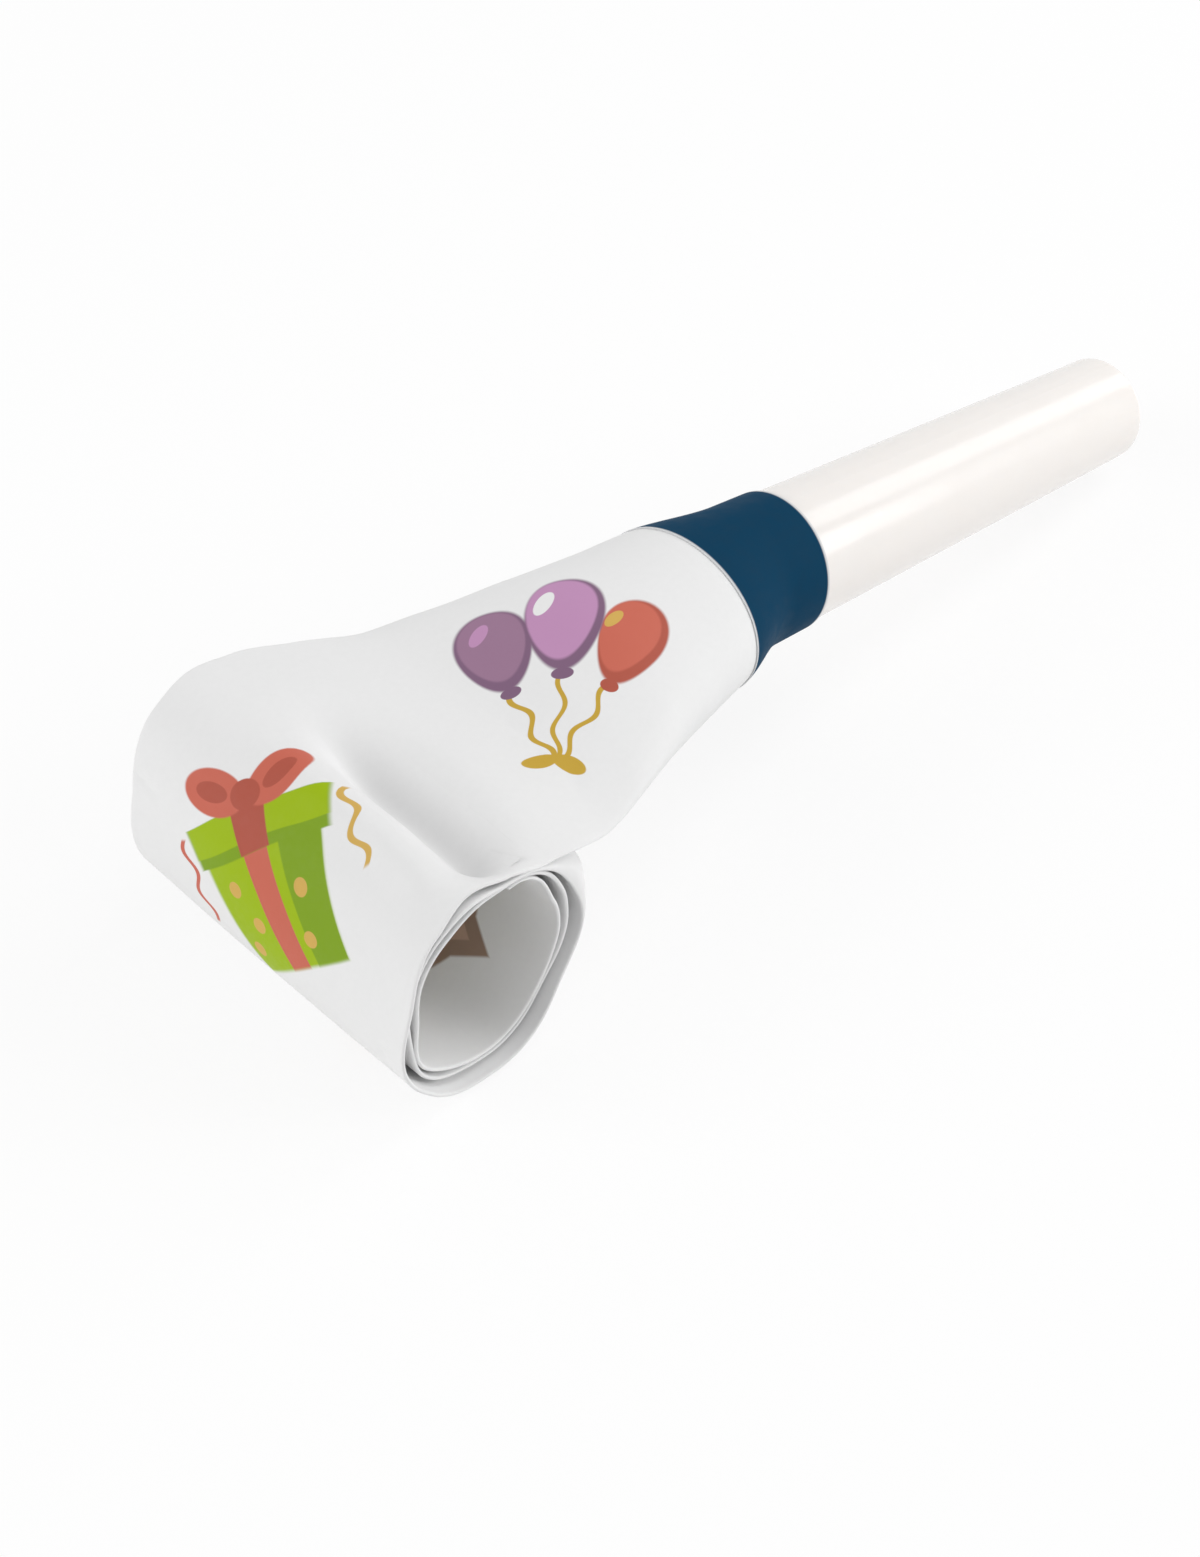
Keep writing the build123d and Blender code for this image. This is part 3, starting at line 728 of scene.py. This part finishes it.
def thin_sheet(layers):
    """Points, faces and blank print places of a sheet from the grids of its two sides."""
    rows, cols = layers.shape[1:3]
    faces = []
    for layer in range(2):
        for row in range(rows - 1):
            for col in range(cols - 1):
                a = (layer * rows + row) * cols + col
                faces.append((a, a + 1, a + cols + 1, a + cols))
    rim = list(range(cols)) + [row * cols + cols - 1 for row in range(1, rows)]
    rim += [(rows - 1) * cols + col for col in range(cols - 2, -1, -1)]
    rim += [row * cols for row in range(rows - 2, 0, -1)]
    for a, b in zip(rim, rim[1:] + rim[:1]):
        faces.append((a, b, b + rows * cols, a + rows * cols))
    return layers.reshape(-1, 3), faces, [((0, BLANK),) * 4] * len(faces)


SHARP_EDGE = math.radians(62)


def make_piece(name, points, faces, places, material, body, slot, stands_for):
    """A mesh piece from points in millimetres, on its body and in place of the CAD nodes it stands for."""
    mesh = bpy.data.meshes.new(name)
    world = points @ np.array(HORN.to_3x3()).T + np.array(HORN.translation)
    mesh.from_pydata(world.tolist(), [], faces)
    layer = mesh.uv_layers.new(name="strip")
    layer.data.foreach_set("uv", np.array([c for face in places for c in face], float).ravel())
    shaped = bmesh.new()
    shaped.from_mesh(mesh)
    bmesh.ops.recalc_face_normals(shaped, faces=shaped.faces)
    shaped.to_mesh(mesh)
    shaped.free()
    mesh.polygons.foreach_set("use_smooth", [True] * len(mesh.polygons))
    mesh.set_sharp_from_angle(angle=SHARP_EDGE)
    mesh.materials.append(material)
    piece = bpy.data.objects.new(name, mesh)
    bpy.context.scene.collection.objects.link(piece)
    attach(piece, body)
    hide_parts(*stands_for)
    return piece


def to_world(point):
    return HORN @ Vector([float(v) for v in point])


def flatten_with(piece, size, arcs, link):
    """Gives a piece of one link a mesh of its own, after finding where the link's middle line begins and ends."""
    half = size["strip_thickness"] / 2
    step = link_step(size)
    arc = arcs[link]
    start = to_world(on_arc(arc, arc[3], half, 0.0))
    end = to_world(on_arc(arc, arc[3] + step, half, 0.0))
    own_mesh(piece)


def level_with_roll(piece):
    """Gives a piece at the end of the neck a mesh of its own."""
    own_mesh(piece)


# Shares of a link's bend; the first and last steps are short, so that the links' shading meets.
LINK_SHARES = np.concatenate([[0, 0.005], np.linspace(0.05, 0.95, 19), [0.995, 1]])
TAB_LENGTH = 1.0
TAB_OPENING = 0.8  # of the strip's dip at a seam or just past it, how far the seam opens
TAB_DIPS = (0, 8, 16)  # degrees past the seam where the dip is taken
TAB_SHARES = (-0.3, 0.0, 0.2, 0.4, 0.6, 0.8, 1.0)
TAB_COLUMNS = 14
TAB_WIRE_GAP, TAB_FOLD_GAP, TAB_PLY_GAP = 0.5, 1.4, 0.03
TAB_PLY, TAB_RISE = 0.04, 0.12


def link_tab(size, arc, seam, side, back):
    """A thin tab inside the tube at a seam of a link, beside the wire, which carries the paper and its
    print over the seam when it is unrolled. One that goes back into the neck is straight."""
    half = size["strip_width"] / 2
    across = side * np.linspace(TAB_WIRE_GAP, half - TAB_FOLD_GAP, TAB_COLUMNS)
    way = -1 if back else 1
    dip = max(0.0, *(-float(edge_play(size, seam + way * past, across).min()) for past in TAB_DIPS))
    # The hinge at the neck turns half as far as the others.
    reach = way * math.degrees((TAB_LENGTH + TAB_OPENING * dip / (2 if back else 1)) / arc[2])
    angles = [seam + reach * share for share in TAB_SHARES]
    layers = []
    for lift in (0.0, TAB_PLY):
        layer = []
        for angle, share in zip(angles, TAB_SHARES):
            depth = ply_depth(size, angle, across / half)
            rise = np.clip(depth - 2 * size["paper"] - TAB_RISE, 0, TAB_RISE) * max(share, 0)
            low = size["strip_thickness"] / 2 - depth + size["paper"] + TAB_PLY_GAP
            out = low + lift + rise + edge_play(size, angle, across)
            row = on_arc(arc, seam if back else angle, out, across + edge_shift(size, angle))
            if back:
                row[:, 0] += math.radians(angle - seam) * arc[2]
            layer.append(row)
        layers.append(layer)
    points, faces, places = thin_sheet(np.array(layers))
    along = [strip_place(size, angle) for angle in angles]
    printed = []
    for shift in (INNER_PLY_SHIFT, 0.0):
        for near, far in zip(along, along[1:]):
            for left, right in zip(across, across[1:]):
                start, stop = near + shift, far + shift
                printed.append(((start, left), (start, right), (stop, right), (stop, left)))
    return points, faces, printed + places[len(printed) :]


class PARTYHORN_OT_paper_roll(Operator):
    """Winds the flattened paper tube as one piece for each link of the roll"""

    bl_idname = "partyhorn.paper_roll"
    bl_label = "Paper roll"

    def execute(self, context):
        size = sizes()
        arcs = roll_arcs(size)
        step = link_step(size)
        for link, arc in enumerate(arcs):
            angles = arc[3] + step * LINK_SHARES
            outer = strip_rows(size, arc, angles, 0.0)
            inner = strip_rows(size, arc, angles, size["paper"])
            along = [strip_place(size, angle) for angle in angles]
            points, faces, places = paper_shell(outer, inner, along)
            tabs = [(angles[-1], side, False) for side in (-1, 1) if link < LINKS - 1]
            tabs += [(angles[0], side, True) for side in (-1, 1) if link == 0]
            for tab in tabs:
                tab_points, tab_faces, tab_places = link_tab(size, arc, *tab)
                faces += [tuple(i + len(points) for i in face) for face in tab_faces]
                places += tab_places
                points = np.concatenate([points, tab_points])
            name = f"rolled_paper_{link + 1:02d}"
            body = f"coil_{link + 1:02d}"
            node = f"paper_tube_{link + 1:02d}"
            piece = make_piece(name, points, faces, places, paper_material(), body, "paper", [node])
            flatten_with(piece, size, arcs, link)
        return {"FINISHED"}


SEAL_DEGREES = 28.0
SEAL_PLY = 0.12
SEAL_BEND, SEAL_GLUE = 0.06, 0.02  # inside of the fold past the tube's end, and gap under the flap
SEAL_BEND_STEPS, SEAL_STEPS, SEAL_COLUMNS = 9, 14, 41
SEAL_FIRST = 0.04  # share of the flap where it lies flat
SEAL_INSET = 0.8  # from the tube's folds, so that the flap stays inside them
SEAL_CORNER = 3.5  # cut off the corners of the flap


class PARTYHORN_OT_folded_end(Operator):
    """Folds the end of the tube over its opening and glues the flap to its inner side"""

    bl_idname = "partyhorn.folded_end"
    bl_label = "Folded end"

    def execute(self, context):
        size = sizes()
        arcs = roll_arcs(size)
        arc = arcs[-1]
        end = arc[3] + link_step(size)
        half = size["strip_width"] / 2
        outside = size["strip_thickness"] / 2
        layers = []
        for lift in (0.0, SEAL_PLY):
            rows = []
            for turn in np.linspace(0, math.pi, SEAL_BEND_STEPS):
                past = math.degrees((SEAL_BEND + lift) * math.sin(turn) / arc[2])
                rows.append((end + past, (1 - math.cos(turn)) / 2))
            rows += [(end - SEAL_DEGREES * share, 1.0) for share in np.linspace(SEAL_FIRST, 1, SEAL_STEPS)]
            layer = []
            for angle, under in rows:
                left = SEAL_DEGREES - (end - angle)
                cut = max(0.0, SEAL_CORNER - math.radians(left) * arc[2])
                across = np.linspace(-1, 1, SEAL_COLUMNS) * (half - SEAL_INSET - cut)
                low = outside - ply_depth(size, angle, across / half) - SEAL_GLUE - lift
                out = (outside + lift) * (1 - under) + low * under + edge_play(size, angle, across)
                layer.append(on_arc(arc, angle, out, across + edge_shift(size, angle)))
            layers.append(layer)
        body = f"coil_{LINKS:02d}"
        piece = make_piece(
            "folded_paper_end", *thin_sheet(np.array(layers)), paper_material(), body, "paper", ["end_seal"]
        )
        flatten_with(piece, size, arcs, LINKS - 1)
        return {"FINISHED"}


WIRE_ROOT = 12.0  # length of the straight end
WIRE_STEPS, WIRE_ROOT_STEPS, WIRE_SIDES = 21, 25, 12
WIRE_GAP, WIRE_ROOT_GAP = 0.1, 0.1  # in degrees at the ends of each link, and in millimetres at the root


def rod(rows):
    """Points, faces and blank print places of a closed rod through rings of points."""
    count, ring = rows.shape[:2]
    faces = [tuple(range(ring)), tuple((count - 1) * ring + col for col in range(ring))]
    for row in range(count - 1):
        for col in range(ring):
            a, b = row * ring + col, row * ring + (col + 1) % ring
            faces.append((a, a + ring, b + ring, b))
    return rows.reshape(-1, 3), faces, [((0, BLANK),) * len(face) for face in faces]


class PARTYHORN_OT_spring_wire(Operator):
    """Runs the spring wire through the tube, with its straight end in the neck"""

    bl_idname = "partyhorn.spring_wire"
    bl_label = "Spring wire"

    def execute(self, context):
        size = sizes()
        arcs = roll_arcs(size)
        step = link_step(size)
        # Spring steel, cold drawn: a dull grey shine in streaks along the wire, 0.05 mm apart.
        steel = worked_metal("spring_steel_drawn", ink("steel"), 0.05, (0.2, 1, 1), 0.32)
        ring = np.linspace(0, 2 * math.pi, WIRE_SIDES, endpoint=False)
        radius = size["wire"] / 2
        table = neck_table(size)
        roll_x = table[0][-1]
        rows = []
        for x in np.linspace(roll_x - WIRE_ROOT, roll_x - WIRE_ROOT_GAP, WIRE_ROOT_STEPS):
            loop = neck_loop(size, table, x, -size["paper"])
            middle = np.argsort(np.abs(loop[:, 1]))[:2]
            z = loop[middle, 2].mean() + radius * np.sin(ring)
            rows.append(np.stack([np.full_like(z, x), radius * np.cos(ring), z], -1))
        piece = make_piece(
            "straight_wire_end", *rod(np.array(rows)), steel, "blower", "spring_wire", ["spring_wire_root"]
        )
        level_with_roll(piece)
        for link, arc in enumerate(arcs):
            angles = np.linspace(arc[3] + WIRE_GAP, arc[3] + step - WIRE_GAP, WIRE_STEPS)
            rows = [
                on_arc(arc, angle, radius * np.sin(ring) + edge_play(size, angle, 0.0), radius * np.cos(ring))
                for angle in angles
            ]
            number = f"{link + 1:02d}"
            piece = make_piece(
                f"coil_wire_{number}", *rod(np.array(rows)), steel, f"coil_{number}", "spring_wire",
                [f"spring_wire_{number}"],
            )
            flatten_with(piece, size, arcs, link)
        return {"FINISHED"}


# Sections of the neck from the band to the roll: share of its length, then shares of its widening,
# of its height at the band, of its sway and of its drop.
NECK_SHAPE = (
    (0.00, 0.00, 1.000, 0.30, 0.00),
    (0.17, 0.13, 0.985, 0.60, 0.54),
    (0.33, 0.27, 0.940, 0.85, 1.08),
    (0.50, 0.50, 0.640, 1.00, 1.60),
    (0.66, 0.74, 0.250, 0.85, 2.00),
    (0.76, 0.85, 0.115, 0.60, 1.60),
    (0.86, 0.93, 0.028, 0.30, 1.15),
    (1.00, 1.00, 0.000, 0.00, 1.00),
)
FLARE_HALF_W, FLARE_HALF_H = 9.95, 7.45
NECK_SWAY = 1.8
COLLAR_FIT = 0.17
TIP_R, BAND_EDGE_R = 5.7, 7.0
# The neck is fuller on its far side, drawn in before the roll, and its near edge droops there: how much,
# and between which places along the horn that comes and goes, in millimetres.
NECK_FAR_SWELL, SWELL_COMES, SWELL_GOES = 1.2, (68, 85), (89, 98)
NECK_WAIST, WAIST_PLACE, WAIST_REACH = 0.4, 102.5, 5
NECK_DROOP, DROOP_COMES, DROOP_GOES = 1.0, (84, 96), 5
DROOP_ACROSS = (0.55, 1.1)  # shares of the half width
NECK_FLATTENS, NECK_WIDENS = 15, 6  # before the roll, where its section turns into the strip's
NECK_OPENS = (0.8, 2.6)  # half heights between which the valley leaves the underside
UPPER_FADE = 0.7  # how the bumps and creases fade out to the neck's edges
NECK_END_LENGTH = 4.0  # of the flat end, which is made as a piece of its own

# Bumps and creases of the neck's upper side: (x, y, half length, half width, turn in degrees, rise),
# in millimetres, with the length along the horn before it is turned.
NECK_DENTS = (
    (100.6, 6.5, 3.4, 6.5, 8.0, 0.55),
    (94.0, 3.4, 0.45, 2.0, 8.0, -0.16),
    (94.2, 11.0, 0.7, 1.6, -30.0, -0.18),
)


def eased(places, values, place):
    """Value at a place on a smooth line through the given values that never overshoots them."""
    gaps = [b - a for a, b in zip(places, places[1:])]
    slopes = [(b - a) / gap for a, b, gap in zip(values, values[1:], gaps)]
    inner = [2 * a * b / (a + b) if a * b > 0 else 0.0 for a, b in zip(slopes, slopes[1:])]
    tangents = [slopes[0]] + inner + [slopes[-1]]
    index = max(i for i in range(len(gaps)) if places[i] <= place or i == 0)
    t = (place - places[index]) / gaps[index]
    rise, fall = t * t * (3 - 2 * t), t * (1 - t)
    bend = gaps[index] * fall * ((1 - t) * tangents[index] - t * tangents[index + 1])
    return values[index] + (values[index + 1] - values[index]) * rise + bend


def mouth_outer(x, size):
    """Outer radius of the mouthpiece at x."""
    return TIP_R + (BAND_EDGE_R - TIP_R) * x / size["band_start"]


def neck_table(size):
    """Places along the horn, with the neck's half width, half height, sway and drop at each."""
    rows = []
    start, roll_x = size["band_start"], HINGES["unroll_01"].x
    flat = size["strip_thickness"] / 2
    drop_end = HINGES["unroll_01"].z - flat
    for x in (start, start + size["grip"]):
        radius = mouth_outer(x, size) + COLLAR_FIT
        rows.append((x, radius, radius, 0.0, 0.0))
    band_end = start + size["band_length"]
    for share, width, height, sway, drop in NECK_SHAPE:
        half_w = FLARE_HALF_W + (size["strip_width"] / 2 - FLARE_HALF_W) * width
        half_h = flat + (FLARE_HALF_H - flat) * height
        x = band_end + (roll_x - band_end) * share
        rows.append((x, half_w, half_h, NECK_SWAY * sway, drop_end * drop))
    return list(zip(*rows))


def neck_loop(size, table, x, grow):
    """Loop of the neck's paper at x, pushed out by grow."""
    phi = loop_angles(size)
    half_w, half_h, sway, drop = [eased(table[0], column, min(x, table[0][-1])) for column in table[1:]]
    if x <= size["band_start"] + size["grip"]:
        half_w = half_h = mouth_outer(x, size) + COLLAR_FIT
    y = (half_w + grow) * np.cos(phi)
    z = (half_h + grow) * np.sin(phi)
    flat_y, flat_out = strip_loop(size, 0.0, max(-grow, 0.0))
    roll_x = table[0][-1]
    flatness = float(ramp(x, roll_x - NECK_FLATTENS, roll_x))
    flat_end = float(ramp(x, roll_x - NECK_WIDENS, roll_x))
    z = z + (flat_out - z) * flatness
    y = y + (flat_y - y) * flat_end
    fuller = NECK_FAR_SWELL * ramp(x, *SWELL_COMES) * (1 - ramp(x, *SWELL_GOES))
    fuller = fuller - NECK_WAIST * swell(x, WAIST_PLACE, WAIST_REACH)
    y = y - fuller * np.clip(-np.cos(phi), 0, 1)
    upper = np.clip(np.sin(phi), 0, 1) ** UPPER_FADE
    both = np.where(np.sin(phi) >= 0, 1.0, float(1 - ramp(half_h, *NECK_OPENS)))
    z = z + neck_valley(size, x, y + sway) * both
    droop = NECK_DROOP * ramp(x, *DROOP_COMES) * (1 - ramp(x, roll_x - DROOP_GOES, roll_x))
    z = z - droop * ramp(y / half_w, *DROOP_ACROSS)
    for dent_x, dent_y, half_length, half_width, turn, rise in NECK_DENTS:
        dent = crease(x - dent_x, y - dent_y, half_length, half_width, turn)
        z = z + rise * dent * upper * (1 - flat_end)
    return np.stack([np.full_like(y, x), y + sway, z + drop], -1)


NECK_STEPS, NECK_END_STEPS = 100, 16
SHORT_STEP = 0.04  # first and last step of each piece, so that their shading meets


class PARTYHORN_OT_paper_neck(Operator):
    """Makes the paper neck, which goes from the round collar to the flat start of the roll"""

    bl_idname = "partyhorn.paper_neck"
    bl_label = "Paper neck"

    def execute(self, context):
        size = sizes()
        table = neck_table(size)
        start, end = table[0][0], table[0][-1]
        parting = end - NECK_END_LENGTH
        for name, low, high, steps in (
            ("flared_paper_neck", start, parting, NECK_STEPS),
            ("flat_neck_end", parting, end, NECK_END_STEPS),
        ):
            places_x = np.linspace(low, high, steps)
            ends = [low, low + SHORT_STEP], [high - SHORT_STEP, high]
            places_x = np.concatenate([ends[0], places_x[1:-1], ends[1]])
            outer = np.array([neck_loop(size, table, x, 0.0) for x in places_x])
            inner = np.array([neck_loop(size, table, x, -size["paper"]) for x in places_x])
            points, faces, places = paper_shell(outer, inner, places_x - end)
            places = [face if face[0][0] > FIRST_PRINT else ((0, BLANK),) * 4 for face in places]
            paper = paper_material()
            piece = make_piece(name, points, faces, places, paper, "blower", "paper", ["paper_neck"])
        level_with_roll(piece)
        return {"FINISHED"}


BAND_GLUE, BAND_PLY = 0.02, 0.12
BAND_OVERHANG = 0.05  # past the end of the paper, on the mouthpiece
BAND_STEPS = 40


class PARTYHORN_OT_collar_band(Operator):
    """Wraps the navy paper band round the collar"""

    bl_idname = "partyhorn.collar_band"
    bl_label = "Collar band"

    def execute(self, context):
        size = sizes()
        table = neck_table(size)
        start, width = size["band_start"], size["band_length"]
        places_x = np.linspace(start - BAND_OVERHANG, start + width, BAND_STEPS)
        outer = np.array([neck_loop(size, table, x, BAND_GLUE + BAND_PLY) for x in places_x])
        inner = np.array([neck_loop(size, table, x, BAND_GLUE) for x in places_x])
        points, faces, places = paper_shell(outer, inner, places_x)
        # The band has one ply, so the print of its lower half goes back to where the upper one is.
        shifted = start + width + INNER_PLY_SHIFT
        places = [
            tuple((u - INNER_PLY_SHIFT if u <= shifted and v != BLANK else u, v) for u, v in face)
            for face in places
        ]
        material = navy_paper(start, width)
        make_piece(
            "navy_collar_band", points, faces, places, material, "blower", "collar_band", ["collar_band"]
        )
        return {"FINISHED"}


class PARTYHORN_OT_mouthpiece(Operator):
    """Gives the mouthpiece and the reed inside it their plastics and metal"""

    bl_idname = "partyhorn.mouthpiece"
    bl_label = "Mouthpiece and reed"

    def execute(self, context):
        finishes = {
            "mouthpiece": milky_polypropylene(),
            "reed_holder": moulded_polystyrene(),
        }
        finishes["reed_wedge"] = finishes["reed_holder"]
        # Brass strip, cold rolled: a warm shine in fine lines along the tongue, 0.08 mm apart.
        finishes["reed_tongue"] = worked_metal("brass_rolled", ink("brass"), 0.08, (0.15, 1, 1), 0.28)
        for name, material in finishes.items():
            node = frame["nodes"][name]
            node.data.materials.clear()
            node.data.materials.append(material)
        return {"FINISHED"}


# The photograph's camera, in millimetres along the horn: place, and directions to the right and up.
CAMERA_AT = (256.9, 142.9, 164.5)
CAMERA_RIGHT = (-0.700, 0.698, 0.153)
CAMERA_UP = (-0.358, -0.528, 0.770)
FOCAL_PIXELS, LONG_SIDE_PIXELS = 3000, 1557
SENSOR = 36.0


CLIP = (0.01, 20)  # metres
FLOOR_REACH, FLOOR_GAP = 3.0, 0.0004  # metres: half its side, and how far it lies under the part
FLOOR_WHITE = 0.85  # share of the floor that is seen as plain white
AMBIENT = 0.47
# A low soft lamp in front of the roll, one behind the horn that shades the valley, and a long one
# overhead that leaves a band of shine along the mouthpiece: direction along the horn, distance,
# sides, of which the first runs along the horn, and power.
LAMPS = (
    ("front_soft_light", (0.90, -0.35, 0.26), 0.9, (0.7, 0.4), 3.2),
    ("back_soft_light", (-0.54, 0.66, 0.52), 0.9, (0.5, 0.4), 2.9),
    ("overhead_softbox", (-0.46, 0.08, 0.88), 0.7, (1.2, 0.28), 2.0),
)


def seen_directly(tree):
    """1 for what the camera sees, also mirrored or through a wall, and 0 for what only gives light."""
    path = add_node(tree, "ShaderNodeLightPath").outputs
    seen = {0: path["Is Camera Ray"], 1: path["Is Glossy Ray"]}
    seen = add_node(tree, MATH, seen, operation="MAXIMUM").outputs[0]
    seen = {0: seen, 1: path["Is Transmission Ray"]}
    return add_node(tree, MATH, seen, operation="MAXIMUM").outputs[0]


class PARTYHORN_OT_studio(Operator):
    """Sets the pale floor, the soft light and the camera"""

    bl_idname = "partyhorn.studio"
    bl_label = "Studio"

    def execute(self, context):
        scene = context.scene
        scene.view_settings.view_transform = "Standard"
        mesh = bpy.data.meshes.new("studio_floor")
        corners = ((-1, -1), (1, -1), (1, 1), (-1, 1))
        corners = [(x * FLOOR_REACH, y * FLOOR_REACH, -FLOOR_GAP) for x, y in corners]
        mesh.from_pydata(corners, [], [(0, 1, 2, 3)])
        floor = bpy.data.objects.new("studio_floor", mesh)
        scene.collection.objects.link(floor)
        floor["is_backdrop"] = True

        # Matt white paper sweep: the camera sees most of it as plain white, and the rest as it is
        # lit, so a soft part of the shadow stays.
        material, output = new_material("matt_paper_sweep")
        tree = material.node_tree
        share = {0: seen_directly(tree), 1: FLOOR_WHITE}
        share = add_node(tree, MATH, share, operation="MULTIPLY").outputs[0]
        paper = add_node(tree, "ShaderNodeBsdfDiffuse", {"Color": ink("floor")}).outputs[0]
        white = add_node(tree, "ShaderNodeEmission", {"Color": (1, 1, 1, 1), "Strength": 1.0}).outputs[0]
        mixed = add_node(tree, "ShaderNodeMixShader", {0: share, 1: paper, 2: white}).outputs[0]
        tree.links.new(mixed, output.inputs[0])
        mesh.materials.append(material)

        world = bpy.data.worlds.new("studio_light")
        world.use_nodes = True
        tree = world.node_tree
        tree.nodes.clear()
        dim = {"Color": (1, 1, 1, 1), "Strength": AMBIENT}
        dim = add_node(tree, "ShaderNodeBackground", dim).outputs[0]
        bright = {"Color": (1, 1, 1, 1), "Strength": 1.0}
        bright = add_node(tree, "ShaderNodeBackground", bright).outputs[0]
        mixed = {0: seen_directly(tree), 1: dim, 2: bright}
        mixed = add_node(tree, "ShaderNodeMixShader", mixed).outputs[0]
        add_node(tree, "ShaderNodeOutputWorld", {0: mixed})
        scene.world = world

        turn = HORN.to_3x3().normalized()
        right = (turn @ Vector(CAMERA_RIGHT)).normalized()
        up = (turn @ Vector(CAMERA_UP)).normalized()
        back = right.cross(up).normalized()
        middle = Vector(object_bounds()[0]).lerp(Vector(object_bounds()[1]), 0.5)
        for name, toward, distance, sides, power in LAMPS:
            data = bpy.data.lights.new(name, "AREA")
            data.shape = "RECTANGLE"
            data.size, data.size_y = sides
            data.energy = power
            lamp = bpy.data.objects.new(name, data)
            scene.collection.objects.link(lamp)
            facing = (turn @ Vector(toward)).normalized()
            side = (ALONG - facing * ALONG.dot(facing)).normalized()
            pose = Matrix((side, facing.cross(side), facing)).transposed().to_4x4()
            lamp.matrix_world = Matrix.Translation(middle + facing * distance) @ pose

        camera = bpy.data.objects.new("photo_camera", bpy.data.cameras.new("photo_camera"))
        scene.collection.objects.link(camera)
        pose = Matrix((right, up, back)).transposed().to_4x4()
        camera.matrix_world = Matrix.Translation(HORN @ Vector(CAMERA_AT)) @ pose
        camera.data.sensor_width = SENSOR
        camera.data.lens = FOCAL_PIXELS / LONG_SIDE_PIXELS * SENSOR
        camera.data.clip_start, camera.data.clip_end = CLIP
        scene.camera = camera
        return {"FINISHED"}


STEPS = (
    PARTYHORN_OT_mouthpiece,
    PARTYHORN_OT_paper_roll,
    PARTYHORN_OT_folded_end,
    PARTYHORN_OT_spring_wire,
    PARTYHORN_OT_paper_neck,
    PARTYHORN_OT_collar_band,
    PARTYHORN_OT_studio,
)


class PARTYHORN_PT_steps(Panel):
    """The steps that dress the party horn"""

    bl_idname = "PARTYHORN_PT_steps"
    bl_label = "Party Horn"
    bl_space_type = "VIEW_3D"
    bl_region_type = "UI"
    bl_category = "Party Horn"

    def draw(self, context):
        for step in STEPS:
            self.layout.operator(step.bl_idname)
        for group in (context.scene.party_horn_sizes, context.scene.party_horn_colours):
            box = self.layout.box()
            for name in type(group).__annotations__:
                box.prop(group, name)


CLASSES = (PartyHornSizes, PartyHornColours, *STEPS, PARTYHORN_PT_steps)


def register():
    for kind in CLASSES:
        bpy.utils.register_class(kind)
    bpy.types.Scene.party_horn_sizes = PointerProperty(type=PartyHornSizes)
    bpy.types.Scene.party_horn_colours = PointerProperty(type=PartyHornColours)


def unregister():
    del bpy.types.Scene.party_horn_colours
    del bpy.types.Scene.party_horn_sizes
    for kind in reversed(CLASSES):
        bpy.utils.unregister_class(kind)


def main():
    register()
    bpy.ops.partyhorn.mouthpiece()
    bpy.ops.partyhorn.paper_roll()
    bpy.ops.partyhorn.folded_end()
    bpy.ops.partyhorn.spring_wire()
    bpy.ops.partyhorn.paper_neck()
    bpy.ops.partyhorn.collar_band()
    bpy.ops.partyhorn.studio()


if __name__ == "__main__":
    main()
